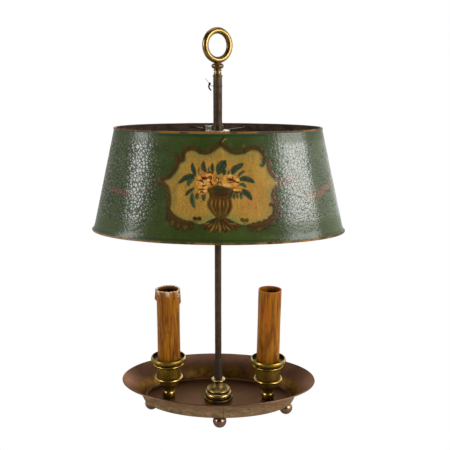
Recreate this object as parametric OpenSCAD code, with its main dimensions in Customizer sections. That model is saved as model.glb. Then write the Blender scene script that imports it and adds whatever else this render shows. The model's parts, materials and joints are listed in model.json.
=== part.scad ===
// Bouillotte lamp: an oval dish with two electrified candle cups, a central stem with a
// carrying ring, and an oval sheet shade that slides and turns on the stem.
// Millimetres. Origin on the stem's axis, where the feet stand. +Z up, +X along the dish.

/* [Tray] */
// Half length of the flat floor along X
floor_a = 87; // [82:0.5:95]
// Half width of the flat floor along Y
floor_b = 53; // [50:0.1:58]
// Half length of the rim along X
rim_a = 110.5; // [104:0.5:118]
// Half width of the rim along Y
rim_b = 71.5; // [68:0.5:80]
// Height of the rim's outer edge above the underside
tray_h = 24.5; // [18:0.5:30]
// Sheet thickness of the dish
tray_t = 1.2; // [0.8:0.1:1.8]
// Rounding of the bend between floor and wall
bend_r = 4; // [2:0.5:8]

/* [Feet] */
// Diameter of the ball feet
foot_d = 15; // [12:0.5:16]
// Height of the dish's underside above the table
foot_h = 15.2; // [14.5:0.1:20]
// Diameter of the worn flat under each ball
foot_flat_d = 5; // [3:0.5:7]
// Diameter of each foot's neck
foot_neck_d = 7; // [5:0.5:9]
// Distance of the left and right feet from the stem
foot_x = 78; // [62:0.5:79]
// Distance of the front and back feet from the stem
foot_y = 40.5; // [38:0.5:44]
// How far the front foot stands to the right of the stem's middle
foot_skew = 3.5; // [0:0.1:6]
// How far the right foot stands in front of the stem's middle
foot_lag = 5; // [0:0.5:8]

/* [Pedestal] */
// Height of the pedestal
ped_h = 23.3; // [20:0.1:30]
// Diameter of the flange on the floor
ped_flange_d = 33.6; // [28:0.2:38]
// Thickness of the flange
ped_flange_t = 2; // [1.5:0.1:3]
// Diameter of the bulge above the flange
ped_bulge_d = 31.4; // [26:0.2:33]
// Height of the bulge
ped_bulge_h = 6.6; // [4:0.2:8]
// Diameter of the step above the bulge
ped_step_d = 26.6; // [24:0.2:28]
// Thickness of the step
ped_step_t = 2.9; // [2:0.1:3.5]
// Diameter of the neck under the top ring
ped_neck_d = 13.8; // [12:0.1:15]
// Diameter of the top ring
ped_top_d = 16.3; // [15.5:0.1:20]
// Thickness of the top ring
ped_top_t = 2.4; // [1.5:0.1:3.5]

/* [Stem] */
// Diameter of the threaded tie rod inside the stem
rod_d = 4; // [3:0.1:4.6]
// Length of the tapered ferrule on the pedestal
ferrule_h = 24; // [18:0.5:32]
// Diameter of the ferrule's foot
ferrule_foot_d = 10.4; // [10:0.1:13]
// Diameter of the ferrule's mouth
ferrule_top_d = 8.8; // [8.6:0.1:10]
// Depth to which the lower tube sits in the ferrule
ferrule_socket = 16; // [10:0.5:18]
// Diameter of the lower tube
lower_d = 7.4; // [6.8:0.1:7.6]
// Wall of the lower tube
lower_wall = 1; // [0.6:0.1:1.2]
// Length of the lower tube
lower_len = 206; // [190:0.5:210]
// Diameter of the upper tube
upper_d = 9.5; // [9:0.1:10.5]
// Wall of the upper tube
upper_wall = 1; // [0.6:0.1:1.4]
// Length of the upper tube
upper_len = 123.3; // [119:0.1:140]
// Diameter of the joiner's flange, which stops the lock collar
joiner_d = 13; // [12:0.5:16]
// Thickness of the joiner's flange above its socket
joiner_t = 3; // [2:0.5:5]
// Depth of the joiner's socket and length of its spigot
joiner_grip = 9; // [6:0.5:12]
// Wall of the joiner around the lower tube
joiner_wall = 1.2; // [0.8:0.1:1.6]

/* [Finial and ring] */
// Height of the finial collar
fin_h = 13.9; // [13:0.1:20]
// Diameter of the collar's lower flange
fin_low_d = 10.9; // [10.7:0.1:13]
// Diameter of the collar's waist
fin_waist_d = 7.8; // [7.2:0.1:8.8]
// Diameter of the collar's upper flange
fin_top_d = 13.2; // [12:0.2:16]
// Thickness of the collar's upper flange
fin_top_t = 5.4; // [4:0.2:6]
// Outer diameter of the carrying ring
ring_d = 36.9; // [32:0.1:44]
// Thickness of the carrying ring
ring_wire = 6.8; // [5:0.1:8]
// Angle of the ring about the stem
ring_turn = 36; // [0:1:90]
// Diameter of the ring's threaded stud
stud_d = 4; // [3:0.1:5]
// Length of the ring's threaded stud
stud_len = 4.5; // [3:0.1:4.8]

/* [Tag wire] */
// Height of the wire loop below the top of the upper tube
tag_drop = 9.5; // [6:0.5:14]
// Diameter of the wire loop and its thin tail
tag_d = 0.8; // [0.6:0.1:1.2]
// Diameter of the twisted tail
tag_twist_d = 1.7; // [1.2:0.1:2.2]

/* [Lock collar and thumbscrew] */
// Diameter of the lock collar
boss_d = 12.5; // [12:0.1:14]
// Height of the lock collar above the spider
boss_rise = 5.4; // [5.2:0.1:8]
// Diameter of the flange that carries the spider
seat_d = 19; // [17:0.5:24]
// Thickness of that flange
seat_t = 2; // [1.5:0.1:3]
// Height of the thumbscrew above the spider
screw_rise = 2.7; // [2.6:0.1:2.8]
// Diameter of the thumbscrew's thread
screw_d = 3; // [2.5:0.1:3.5]
// Diameter of the tapped boss on the collar's side
ear_d = 5; // [4.6:0.1:5.2]
// Distance of the tapped boss's face from the stem's axis
ear_reach = 9.2; // [8.5:0.1:10]
// Width of the thumbscrew's spade head
spade_w = 5; // [4:0.1:5.2]
// Length of the spade head
spade_len = 5; // [4:0.1:7]
// Thickness of the spade head
spade_t = 1.6; // [1.2:0.1:2.2]
// Length of the thumbscrew's neck
spade_neck = 0.9; // [0.5:0.1:2]

/* [Shade] */
// Height of the spider's upper face above the table
hub_z = 324; // [318:0.5:340]
// Height of the shade's top edge above the spider's upper face
hub_drop = 2.3; // [1.6:0.1:5]
// Height of the shade
shade_h = 110; // [90:1:125]
// Half length of the shade's bottom edge
shade_bot_a = 137; // [128:0.5:150]
// Half width of the shade's bottom edge
shade_bot_b = 71.3; // [68:0.1:80]
// Half length of the shade's top edge
shade_top_a = 111.2; // [104:0.2:118]
// Half width of the shade's top edge
shade_top_b = 57.3; // [52:0.1:62]
// Sheet thickness of the shade
shade_t = 0.8; // [0.6:0.1:1]
// Outward curl of the shade's bottom edge
lip_out = 1.2; // [0:0.1:2]
// Height over which the bottom edge curls
lip_h = 8; // [4:0.5:12]
// Diameter of the wired edge beads
bead_d = 2.4; // [2.2:0.1:3.6]
// Diameter of the spider's disc
disc_d = 26; // [22:0.5:30]
// Thickness of the spider's disc
disc_t = 2; // [1.5:0.1:2.6]
// Diameter of the spider's rods
arm_d = 2; // [1.6:0.1:2.6]
// Angle of the spider's rods from the X axis
arm_turn = 60; // [40:1:80]

/* [Candle cups] */
// Distance of each cup from the stem
cup_x = 57.2; // [52:0.1:62]
// Height of the cup
cup_h = 49.5; // [46:0.1:56]
// Diameter of the knob on the floor
knob_d = 14.6; // [14:0.1:16]
// Height of the knob
knob_h = 8.4; // [7.4:0.1:9.4]
// Diameter of the bowl at its foot
bowl_foot_d = 14; // [12.4:0.1:15.4]
// Diameter of the bowl at its top
bowl_d = 22.4; // [21:0.1:26.6]
// Height of the bowl
bowl_h = 11.4; // [10:0.1:13]
// Diameter of the ring round the middle
belt_d = 32.7; // [30:0.1:35]
// Thickness of the ring round the middle
belt_t = 3.4; // [2.4:0.1:4]
// Diameter of the cup's cylindrical body
body_d = 27.6; // [26:0.1:29]
// Diameter of the ring under the lip
band_d = 35.2; // [33:0.1:37]
// Thickness of the ring under the lip
band_t = 3.2; // [2.4:0.1:4]
// Height of the groove between that ring and the lip
lip_gap = 1.4; // [1:0.1:2.4]
// Diameter of the flared lip
lip_d = 40.4; // [38:0.1:43]
// Thickness of the rolled lip
lip_t = 5.5; // [5:0.1:6.4]
// Wall of the lip round the dish
lip_wall = 2; // [1.6:0.1:2.4]
// Depth of the dish under the lip, where the candle stands
dish_depth = 3.8; // [3:0.1:4.2]
// Diameter of the candle socket inside the cup
socket_d = 22.4; // [20:0.1:22.8]
// Height of the socket's bottom above the bowl's top
socket_rise = 1.6; // [0.8:0.1:3]

/* [Candle sleeves] */
// Outer diameter of the candle sleeves
sleeve_d = 26; // [25.2:0.1:28]
// Wall of the candle sleeves
sleeve_wall = 1.2; // [0.8:0.1:1.3]
// Length of the candle sleeves
sleeve_len = 85; // [82:0.5:94]
// Lean of the right sleeve
lean = 1; // [0:0.1:1]
// How far the leaning sleeve's foot stands left of its cup's middle
lean_shift = 0.5; // [0:0.1:0.6]
// How far the upright sleeve stands right of its cup's middle
upright_shift = 0.7; // [0:0.1:0.8]
// Diameter of the wax drips on the left sleeve
drip_d = 4.4; // [3:0.1:5]
// Height of the wax ring at the left sleeve's top
drip_ring_h = 6; // [4:0.5:9]
// Thickness of that wax ring
drip_ring_t = 0.8; // [0.5:0.1:1.2]

/* [Lampholders] */
// Diameter of the threaded tube through each cup
nipple_d = 10; // [9.5:0.1:10.5]
// Wall of the threaded tube
nipple_wall = 1.3; // [1:0.1:1.6]
// Height of the threaded tube above the dish's floor
nipple_top = 87; // [80:0.5:92]
// Diameter of the lampholder's body
holder_d = 21; // [19.5:0.1:21.4]
// Length of the lampholder's body
holder_len = 41; // [36:0.5:42]
// Depth of the lampholder's threaded socket
holder_socket = 6; // [4:0.5:8]
// Thickness of the web above that socket
holder_web = 2; // [1.5:0.1:3]
// Radius of the screw shell's bore
shell_r = 7; // [6.8:0.05:7.4]
// Wall of the screw shell
shell_wall = 0.6; // [0.4:0.1:0.8]
// Length of the screw shell
shell_len = 24; // [20:0.5:25]
// Depth of the shell's mouth inside the lampholder
shell_sink = 1; // [0.5:0.1:2]
// Diameter of the centre contact's button
contact_d = 4.6; // [4:0.1:6]
// Height of the centre contact
contact_h = 5; // [3:0.1:6]

/* [Nuts and washers] */
// Width across flats of the nuts on the threaded tubes
tube_nut_w = 14; // [13:0.5:16]
// Thickness of the nuts on the threaded tubes
tube_nut_t = 3; // [2:0.1:3.4]
// Width across flats of the stem's nut
stem_nut_w = 8; // [7:0.5:10]
// Thickness of the stem's nut
stem_nut_t = 3.2; // [2.4:0.1:4]
// Diameter of the stem's washer
stem_washer_d = 13; // [12:0.5:13.5]
// Diameter of the washers under the candle cups
washer_d = 18; // [16:0.5:20]
// Thickness of the washers
washer_t = 1; // [0.8:0.1:1.5]
// Length of thread left beyond a nut
thread_end = 1.2; // [0.5:0.1:1.6]

/* [Wiring] */
// Diameter of the leads
lead_d = 3; // [2:0.1:3.6]
// Length of the wiring cover along X
cover_l = 40; // [36:0.5:46]
// Width of the wiring cover along Y
cover_w = 25; // [24:0.5:26]
// Depth of the wiring cover under the tray
cover_h = 10; // [9.5:0.1:12]
// Wall of the wiring cover
cover_wall = 1; // [0.8:0.1:1.1]
// Distance of the cover's middle behind the stem
cover_y = 20; // [19.5:0.1:20.4]
// Length of the terminal block along X
block_l = 22; // [20:0.5:24]
// Width of the terminal block along Y
block_w = 12; // [10:0.5:13]
// Height of the terminal block
block_h = 7; // [6.5:0.1:8]
// Diameter of the terminal screws
pole_d = 3; // [2.4:0.1:3.4]
// Diameter of the cover's screws
fix_d = 3; // [2.6:0.1:3.4]
// Width of the cover's ears
ear_w = 8; // [7:0.5:10]
// Bore of the cord inlet
inlet_bore = 6; // [5:0.1:6.4]
// Diameter of the cord inlet's flanges
inlet_d = 8.8; // [8.2:0.1:8.8]
// Wall of the cord inlet
inlet_wall = 0.8; // [0.6:0.1:1]
// Thickness of the cord inlet's flanges
inlet_t = 1.5; // [1:0.1:2]
// Distance of the cord inlet beside the back foot
inlet_x = 13; // [12.5:0.1:14]

/* [Fits] */
// Radial clearance of pieces that slide or turn
run = 0.05; // [0.02:0.01:0.1]
// Radial clearance of fixed pieces
fit = 0.05; // [0.02:0.01:0.1]
// Clearance of leads and the cord in their holes
lead_gap = 0.6; // [0.4:0.1:1]

/* [Hidden] */
$fn = 64;

eps = 0.01;
oval_n = 96;   // corners of the oval lofts
wall_n = 6;    // steps of the dish's flared wall
lead_n = 8;    // sides of a lead

// Heights of the stack on the stem
floor_z = foot_h + tray_t;
ped_z = floor_z + ped_h;
ferrule_z = ped_z + ferrule_h;
lower_bot = ferrule_z - ferrule_socket;
lower_top = lower_bot + lower_len;
stop_z = lower_top + joiner_t;
stem_z = stop_z + upper_len;
fin_z = stem_z + fin_h;
ring_z = fin_z + ring_d / 2;
stem_nut_z = foot_h - washer_t - stem_nut_t;
upper_id = upper_d - 2 * upper_wall;
rod_hole = rod_d + 2 * fit;
fin_spigot = 3;
fin_web = 1.2;

// Heights of the shade and its lock
disc_z = hub_z - disc_t;
seat_z = disc_z - run;
screw_z = hub_z + screw_rise;
shade_top = hub_z + hub_drop;
shade_bot = shade_top - shade_h;
boss_id = upper_d + 2 * run;

// Heights in a candle cup, above the table
neck_t = 2.6;   // height of the flaring neck between knob and bowl
cup_z = floor_z + cup_h;
dish_z = cup_z - dish_depth;
neck_z = floor_z + knob_h;
bowl_z = neck_z + neck_t;
belt_z = bowl_z + bowl_h;
body_z = belt_z + belt_t;
lip_z = cup_z - lip_t;
flare_z = lip_z - lip_gap;
band_z = flare_z - band_t;
socket_z = belt_z + socket_rise;
nipple_z = floor_z + nipple_top;
nipple_bot = foot_h - washer_t - tube_nut_t - thread_end;
nipple_hole = nipple_d + 2 * fit;
holder_z = nipple_z - holder_socket;
holder_top = holder_z + holder_len;
web_z = nipple_z + holder_web;
shell_z = holder_top - shell_sink - shell_len;
shell_od = 2 * (shell_r + shell_wall);
shell_step = 0.5;   // how much narrower the shell is below its screw

// The twist of wire: its knot from the loop's side, and from the knot its thin end and the
// bends of its thick tail
TAG_KNOT = [-3.2, -1.5, 2];
TAG_END = [-4.6, -0.6, 6];
TAG_TAIL = [[0, 0, 0], [-0.9, -0.3, -2.2], [-0.2, -0.5, -4.6], [1.3, -0.4, -6.4]];

// The wax drips: angle round the sleeve, length and bulge of each
DRIPS = [[-6, 18, 2], [38, 9, 1], [78, 14, 1.3], [125, 11, 1], [176, 15, 2.8], [212, 10, 1.2],
         [262, 9, 1], [309, 11, 1.3]];

// Route of a lead from its lampholder: distance from the cup's axis towards the terminal
// block, and height
lead_run = norm([cup_x - block_l / 2, cover_y]);
lead_turn = atan2(cover_y, -(cup_x - block_l / 2));
fix_x = cover_l / 2 + ear_w / 2;
inlet_neck = inlet_bore + 2 * inlet_wall;
inlet_z = foot_h - (cover_h - cover_wall) / 2;
pole_x = block_l / 4;
pole_y = block_w / 4;
lead_end = foot_h - 4;   // height at which the leads enter the block
LEAD = concat([[0, web_z], [0, floor_z], [0, nipple_bot]],
    [for (p = [[0.9, 8.8], [3.4, 10.6], [7.2, 10.8], [13, 9.9], [20, 8], [27, 5.9], [34, 4.5]])
        [p.x, foot_h - p.y]],
    [[lead_run - 6, lead_end], [lead_run - lead_gap, lead_end]]);

// ---- general shapes ----

// Solid through a list of oval rings [half length, half width, height]. A closed one returns
// to its first ring, so it is a ring-shaped wall; an open one has flat ends.
module oval_loft(rings, closed = false) {
    m = len(rings);
    points = [for (r = rings) for (i = [0:oval_n - 1])
        [r[0] * cos(360 * i / oval_n), r[1] * sin(360 * i / oval_n), r[2]]];
    bands = closed ? m : m - 1;
    sides = [for (k = [0:bands - 1]) for (i = [0:oval_n - 1])
        let (j = (i + 1) % oval_n, a = k * oval_n, b = ((k + 1) % m) * oval_n)
        for (f = [[a + i, b + i, b + j], [a + i, b + j, a + j]]) f];
    low = [for (i = [0:oval_n - 1]) i];
    high = [for (i = [0:oval_n - 1]) (m - 1) * oval_n + oval_n - 1 - i];
    polyhedron(points, closed ? sides : concat(sides, [low, high]), convexity = 6);
}

// Round bar between two points
module bar(p, q, d) {
    v = q - p;
    translate(p) rotate([0, atan2(norm([v.x, v.y]), v.z), atan2(v.y, v.x)])
        cylinder(d = d, h = norm(v));
}

// Tube along Z
module tube(d, bore, z, h) {
    translate([0, 0, z]) difference() {
        cylinder(d = d, h = h);
        translate([0, 0, -eps]) cylinder(d = bore, h = h + 2 * eps);
    }
}

// Hexagonal nut along Z
module nut(w, bore, z, h) {
    translate([0, 0, z]) difference() {
        cylinder(d = w / cos(30), h = h, $fn = 6);
        translate([0, 0, -eps]) cylinder(d = bore, h = h + 2 * eps);
    }
}

// Points of a rounded moulding that stands out from radius r to r + out, from z to z + h
function bead_points(r, out, z, h, n = 8) =
    [for (i = [0:n]) [r + out * sin(180 * i / n), z + h * (1 - cos(180 * i / n)) / 2]];

// Points of a hollow or full curve from [r0, z0] to [r1, z1]; its corner is at [rc, zc]
function curve_points(r0, z0, rc, zc, r1, z1, n = 8) =
    [for (i = [0:n]) let (u = i / n, v = 1 - u)
        [v * v * r0 + 2 * u * v * rc + u * u * r1, v * v * z0 + 2 * u * v * zc + u * u * z1]];

// ---- base ----

// Section of the dish's outer face: distance out from the floor's edge, and height. The wall
// rises steeply from the bend and flares out to the rim.
function flare(z) = (rim_a - floor_a) * pow(z / tray_h, 2);
OUTER = concat(curve_points(-bend_r, 0, -flare(bend_r), 0, flare(bend_r), bend_r, 4),
    [for (i = [1:wall_n]) let (z = bend_r + (tray_h - bend_r) * i / wall_n) [flare(z), z]]);
// Direction of the section at a point, from its neighbours
function course(i) = i == 0 ? [1, 0]
    : let (d = OUTER[min(i + 1, len(OUTER) - 1)] - OUTER[i - 1]) d / norm(d);
INNER = [for (i = [0:len(OUTER) - 1]) OUTER[i] + tray_t * [-course(i).y, course(i).x]];
function dish_ring(p) =
    [floor_a + p.x, floor_b + p.x * (p.x < 0 ? 1 : (rim_b - floor_b) / (rim_a - floor_a)), foot_h + p.y];

module tray() {
    inner = [for (i = [len(INNER) - 1:-1:0]) dish_ring(INNER[i])];
    color([0.36, 0.24, 0.17]) difference() {
        oval_loft(concat([for (p = OUTER) dish_ring(p)], inner));
        translate([0, 0, foot_h - tray_t]) cylinder(d = rod_hole, h = 3 * tray_t);
        for (s = [-1, 1]) {
            translate([s * cup_x, 0, foot_h - tray_t]) cylinder(d = nipple_hole, h = 3 * tray_t);
            translate([s * fix_x, cover_y, foot_h - tray_t])
                cylinder(d = fix_d + 2 * fit, h = 3 * tray_t);
        }
    }
}

module foot(x, y) {
    ball_z = sqrt(pow(foot_d / 2, 2) - pow(foot_flat_d / 2, 2));
    color([0.55, 0.42, 0.33]) translate([x, y, 0]) {
        difference() {
            union() {
                translate([0, 0, ball_z]) sphere(d = foot_d);
                translate([0, 0, ball_z]) cylinder(d = foot_neck_d, h = foot_h - ball_z);
            }
            translate([-foot_d, -foot_d, -foot_d]) cube([2 * foot_d, 2 * foot_d, foot_d]);
        }
    }
}

module pedestal() {
    bulge_out = 3;     // how far the bulge stands out of its own ends
    groove = 0.4;      // height of the groove over the bulge
    step_out = 1.2;    // how far the step's rounded edge stands out
    neck_rise = 4.6;   // height at which the neck's curve has its corner
    ring_out = 1.2;    // how far the top ring stands out
    step_z = ped_flange_t + ped_bulge_h + groove;
    ledge_z = step_z + ped_step_t;
    top_z = ped_h - ped_top_t;
    bore_r = rod_hole / 2;
    color([0.62, 0.48, 0.20]) translate([0, 0, floor_z]) rotate_extrude()
        polygon(concat(
            [[bore_r, 0], [ped_flange_d / 2, 0], [ped_flange_d / 2, ped_flange_t]],
            bead_points(ped_bulge_d / 2 - bulge_out, bulge_out, ped_flange_t, ped_bulge_h),
            bead_points(ped_step_d / 2 - step_out, step_out, step_z, ped_step_t, 6),
            curve_points(ped_step_d / 2 - step_out, ledge_z, ped_neck_d / 2, step_z + neck_rise,
                ped_neck_d / 2, top_z),
            bead_points(ped_top_d / 2 - ring_out, ring_out, top_z, ped_top_t, 6),
            [[bore_r, ped_h]]));
}

module stem_ferrule() {
    color([0.30, 0.27, 0.19]) difference() {
        translate([0, 0, ped_z]) cylinder(d1 = ferrule_foot_d, d2 = ferrule_top_d, h = ferrule_h);
        translate([0, 0, ped_z - eps]) cylinder(d = rod_hole, h = ferrule_h + 2 * eps);
        translate([0, 0, lower_bot]) cylinder(d = lower_d + 2 * fit, h = ferrule_socket + eps);
    }
}

module lower_tube() {
    color([0.28, 0.21, 0.15]) tube(lower_d, lower_d - 2 * lower_wall, lower_bot, lower_len);
}

module tube_joiner() {
    sleeve_od = lower_d + 2 * (fit + joiner_wall);
    color([0.50, 0.38, 0.18]) difference() {
        union() {
            translate([0, 0, lower_top - joiner_grip]) cylinder(d = sleeve_od, h = joiner_grip + joiner_t);
            translate([0, 0, lower_top]) cylinder(d = joiner_d, h = joiner_t);
            translate([0, 0, stop_z - eps]) cylinder(d = upper_id - 2 * fit, h = joiner_grip + eps);
        }
        translate([0, 0, lower_top - joiner_grip - eps])
            cylinder(d = lower_d + 2 * fit, h = joiner_grip + eps);
        translate([0, 0, lower_top - eps]) cylinder(d = rod_hole, h = joiner_t + joiner_grip + 2 * eps);
    }
}

module upper_tube() {
    color([0.30, 0.24, 0.20]) tube(upper_d, upper_id, stop_z, upper_len);
}

module tie_rod() {
    bottom = stem_nut_z - thread_end;
    top = fin_z - stud_len - fin_web;
    color("silver") translate([0, 0, bottom]) cylinder(d = rod_d, h = top - bottom);
}

module stem_washer() {
    color("silver") tube(stem_washer_d, rod_hole, foot_h - washer_t, washer_t);
}

module stem_nut() {
    color("silver") nut(stem_nut_w, rod_hole, stem_nut_z, stem_nut_t);
}

module finial_collar() {
    low_t = 2;         // thickness of the lower flange
    low_out = 0.9;     // how far its rounded edge stands out
    cove = 1.6;        // height of the cove above it
    ring_t = 1.5;      // thickness of the small ring under the upper flange
    ring_out = 0.6;    // how far that ring stands out of the waist
    ring_gap = 1;      // groove between that ring and the upper flange
    top_out = 2.4;     // how far the upper flange's rounded edge stands out
    flange_z = fin_h - fin_top_t;
    bead_z = flange_z - ring_gap - ring_t;
    waist_r = fin_waist_d / 2;
    color([0.78, 0.60, 0.24]) translate([0, 0, stem_z]) difference() {
        union() {
            rotate_extrude() polygon(concat(
                [[0, 0]],
                bead_points(fin_low_d / 2 - low_out, low_out, 0, low_t, 6),
                curve_points(fin_low_d / 2 - low_out, low_t, waist_r, low_t + cove, waist_r,
                    bead_z, 5),
                bead_points(waist_r, ring_out, bead_z, ring_t, 6),
                [[waist_r, flange_z]],
                bead_points(fin_top_d / 2 - top_out, top_out, flange_z, fin_top_t),
                [[0, fin_h]]));
            translate([0, 0, -fin_spigot]) cylinder(d = upper_id - 2 * fit, h = fin_spigot + eps);
        }
        translate([0, 0, -fin_spigot - eps])
            cylinder(d = rod_hole, h = fin_spigot + fin_h - stud_len - fin_web + 2 * eps);
        translate([0, 0, fin_h - stud_len - eps]) cylinder(d = stud_d + 2 * fit, h = stud_len + 2 * eps);
    }
}

module ring_handle() {
    color([0.80, 0.62, 0.25]) {
        translate([0, 0, ring_z]) rotate([90, 0, ring_turn]) rotate_extrude()
            translate([(ring_d - ring_wire) / 2, 0]) circle(d = ring_wire);
        translate([0, 0, fin_z - stud_len]) cylinder(d = stud_d, h = stud_len + ring_wire / 2);
    }
}

// A loop round the upper tube, a knot beside it, a thin tail and a thick twisted one
module tag_wire() {
    loop_z = stem_z - tag_drop;
    loop_r = (upper_d + tag_d) / 2 + fit;
    knot = [-loop_r, 0, loop_z] + TAG_KNOT;
    thin_d = 0.8 * tag_d;
    twist = [for (p = TAG_TAIL) knot + p];
    color([0.13, 0.12, 0.11]) {
        translate([0, 0, loop_z]) rotate_extrude() translate([loop_r, 0]) circle(d = tag_d, $fn = 24);
        bar([-loop_r, 0, loop_z], knot, thin_d);
        bar(knot, knot + TAG_END, thin_d);
        translate(knot) sphere(d = 1.7 * tag_twist_d, $fn = 24);
        for (i = [0:len(twist) - 2]) {
            bar(twist[i], twist[i + 1], tag_twist_d);
            translate(twist[i + 1]) sphere(d = 1.2 * tag_twist_d, $fn = 24);
        }
    }
}

// ---- candle cups and lampholders ----

module cup(s) {
    knob_out = 1.6;    // how far the knob stands out of its own ends
    groove = 0.4;      // height of the groove over the knob
    fillet = 0.3;      // foot of the flare over the ring under the lip
    roll = 1.2;        // how far the rolled lip stands out
    belly_rise = 1.5;  // height of the corner of the bowl's curve above the bowl's foot
    inner_r = lip_d / 2 - lip_wall;
    color([0.66, 0.52, 0.20]) translate([s * cup_x, 0, 0]) rotate_extrude() polygon(concat(
        [[nipple_hole / 2, floor_z]],
        bead_points(knob_d / 2 - knob_out, knob_out, floor_z, knob_h - groove),
        [[knob_d / 2 - knob_out, neck_z]],
        curve_points(bowl_foot_d / 2, bowl_z, bowl_d / 2, bowl_z + belly_rise, bowl_d / 2, belt_z),
        bead_points(body_d / 2, (belt_d - body_d) / 2, belt_z, belt_t),
        bead_points(body_d / 2, (band_d - body_d) / 2, band_z, band_t, 6),
        curve_points(body_d / 2 + fillet, flare_z + fillet, body_d / 2 + 2 * fillet,
            lip_z - 2 * fillet, inner_r, lip_z),
        bead_points(lip_d / 2 - roll, roll, lip_z, lip_t),
        [[inner_r, cup_z], [inner_r, dish_z], [socket_d / 2, dish_z], [socket_d / 2, socket_z],
         [nipple_hole / 2, socket_z]]));
}

module nipple(s) {
    color([0.60, 0.50, 0.28]) translate([s * cup_x, 0, 0])
        tube(nipple_d, nipple_d - 2 * nipple_wall, nipple_bot, nipple_z - nipple_bot);
}

module lock_nut(s) {
    color([0.60, 0.50, 0.28]) translate([s * cup_x, 0, 0])
        nut(tube_nut_w, nipple_hole, socket_z, tube_nut_t);
}

module cup_washer(s) {
    color("silver") translate([s * cup_x, 0, 0])
        tube(washer_d, nipple_hole, foot_h - washer_t, washer_t);
}

module base_nut(s) {
    color([0.60, 0.50, 0.28]) translate([s * cup_x, 0, 0])
        nut(tube_nut_w, nipple_hole, foot_h - washer_t - tube_nut_t, tube_nut_t);
}

module holder(s) {
    bore = shell_od + 2 * fit;
    color([0.12, 0.10, 0.09]) translate([s * cup_x, 0, 0]) difference() {
        translate([0, 0, holder_z]) cylinder(d = holder_d, h = holder_len);
        translate([0, 0, holder_z - eps]) cylinder(d = nipple_hole, h = holder_socket + eps);
        translate([0, 0, nipple_z - eps]) cylinder(d = lead_d + 2 * lead_gap, h = holder_web + 2 * eps);
        translate([0, 0, web_z]) cylinder(d = bore, h = holder_len);
    }
}

module shell(s) {
    color([0.72, 0.58, 0.28]) translate([s * cup_x, 0, 0]) {
        tube(shell_od, 2 * shell_r, shell_z, shell_len);
        tube(shell_od, 2 * (shell_r - shell_step), web_z, shell_z - web_z);
    }
}

module contact(s) {
    plate_t = 0.8;     // thickness of the plate under the button
    plate_gap = 1;     // distance of the plate from the shell's bore
    color([0.72, 0.58, 0.28]) translate([s * cup_x, 0, web_z]) {
        cylinder(r = shell_r - plate_gap, h = plate_t);
        cylinder(d = contact_d, h = contact_h);
    }
}

module plain_sleeve() {
    tube(sleeve_d, sleeve_d - 2 * sleeve_wall, dish_z, sleeve_len);
}

module left_sleeve() {
    drip_top = 1;      // distance of the drips' upper ends below the rim
    top = dish_z + sleeve_len;
    bore = sleeve_d - 2 * sleeve_wall;
    color([0.72, 0.47, 0.17]) translate([upright_shift - cup_x, 0, 0]) {
        plain_sleeve();
        tube(sleeve_d + 2 * drip_ring_t, bore, top - drip_ring_h, drip_ring_h);
        difference() {
            for (d = DRIPS) rotate([0, 0, d[0]])
                translate([sleeve_d / 2 + d[2] - drip_d / 2, 0, top - d[1]]) {
                    sphere(d = drip_d, $fn = 32);
                    cylinder(d = drip_d, h = d[1] - drip_top, $fn = 32);
                }
            translate([0, 0, dish_z]) cylinder(d = sleeve_d - sleeve_wall, h = sleeve_len);
        }
    }
}

module right_sleeve() {
    rise = sleeve_d / 2 * sin(lean);
    color([0.74, 0.50, 0.18]) translate([cup_x - lean_shift, 0, dish_z + rise])
        rotate([0, lean, 0]) translate([0, 0, -dish_z]) plain_sleeve();
}

// ---- wiring ----

// One lead as a tube of lead_n sides along its route, which lies in an upright plane
module lead(s) {
    m = len(LEAD);
    function dir(i) =
        let (v = LEAD[min(i + 1, m - 1)] - LEAD[max(i - 1, 0)]) v / norm(v);
    function place(p) =
        [s * (cup_x + p.x * cos(lead_turn)), p.x * sin(lead_turn), p.y];
    side = [s * -sin(lead_turn), cos(lead_turn), 0];
    points = [for (i = [0:m - 1]) for (k = [0:lead_n - 1])
        let (a = 360 * (k + 0.5) / lead_n, t = dir(i))
        place(LEAD[i] + lead_d / 2 * cos(a) * [t.y, -t.x]) + lead_d / 2 * sin(a) * side];
    walls = [for (i = [0:m - 2]) for (k = [0:lead_n - 1])
        let (l = (k + 1) % lead_n, a = i * lead_n, b = a + lead_n)
        for (f = [[a + k, b + k, b + l], [a + k, b + l, a + l]]) s > 0 ? f : [f[2], f[1], f[0]]];
    start = [for (k = [0:lead_n - 1]) s > 0 ? k : lead_n - 1 - k];
    finish = [for (k = [0:lead_n - 1]) (m - 1) * lead_n + (s > 0 ? lead_n - 1 - k : k)];
    color([0.16, 0.14, 0.13]) polyhedron(points, concat(walls, [start, finish]), convexity = 8);
}

module terminal_block() {
    color([0.85, 0.82, 0.74]) translate([0, cover_y, foot_h - block_h]) difference() {
        translate([-block_l / 2, -block_w / 2, 0]) cube([block_l, block_w, block_h]);
        for (x = [-1, 1], y = [-1, 1])
            translate([x * pole_x, y * pole_y, -eps]) cylinder(d = pole_d + 2 * fit, h = block_h / 2);
    }
}

module terminal_screws() {
    sink = 0.5;        // depth of the screws' heads in the block
    color("silver") for (x = [-1, 1], y = [-1, 1])
        translate([x * pole_x, cover_y + y * pole_y, foot_h - block_h + sink])
            cylinder(d = pole_d, h = block_h / 2 - sink - fit);
}

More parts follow.
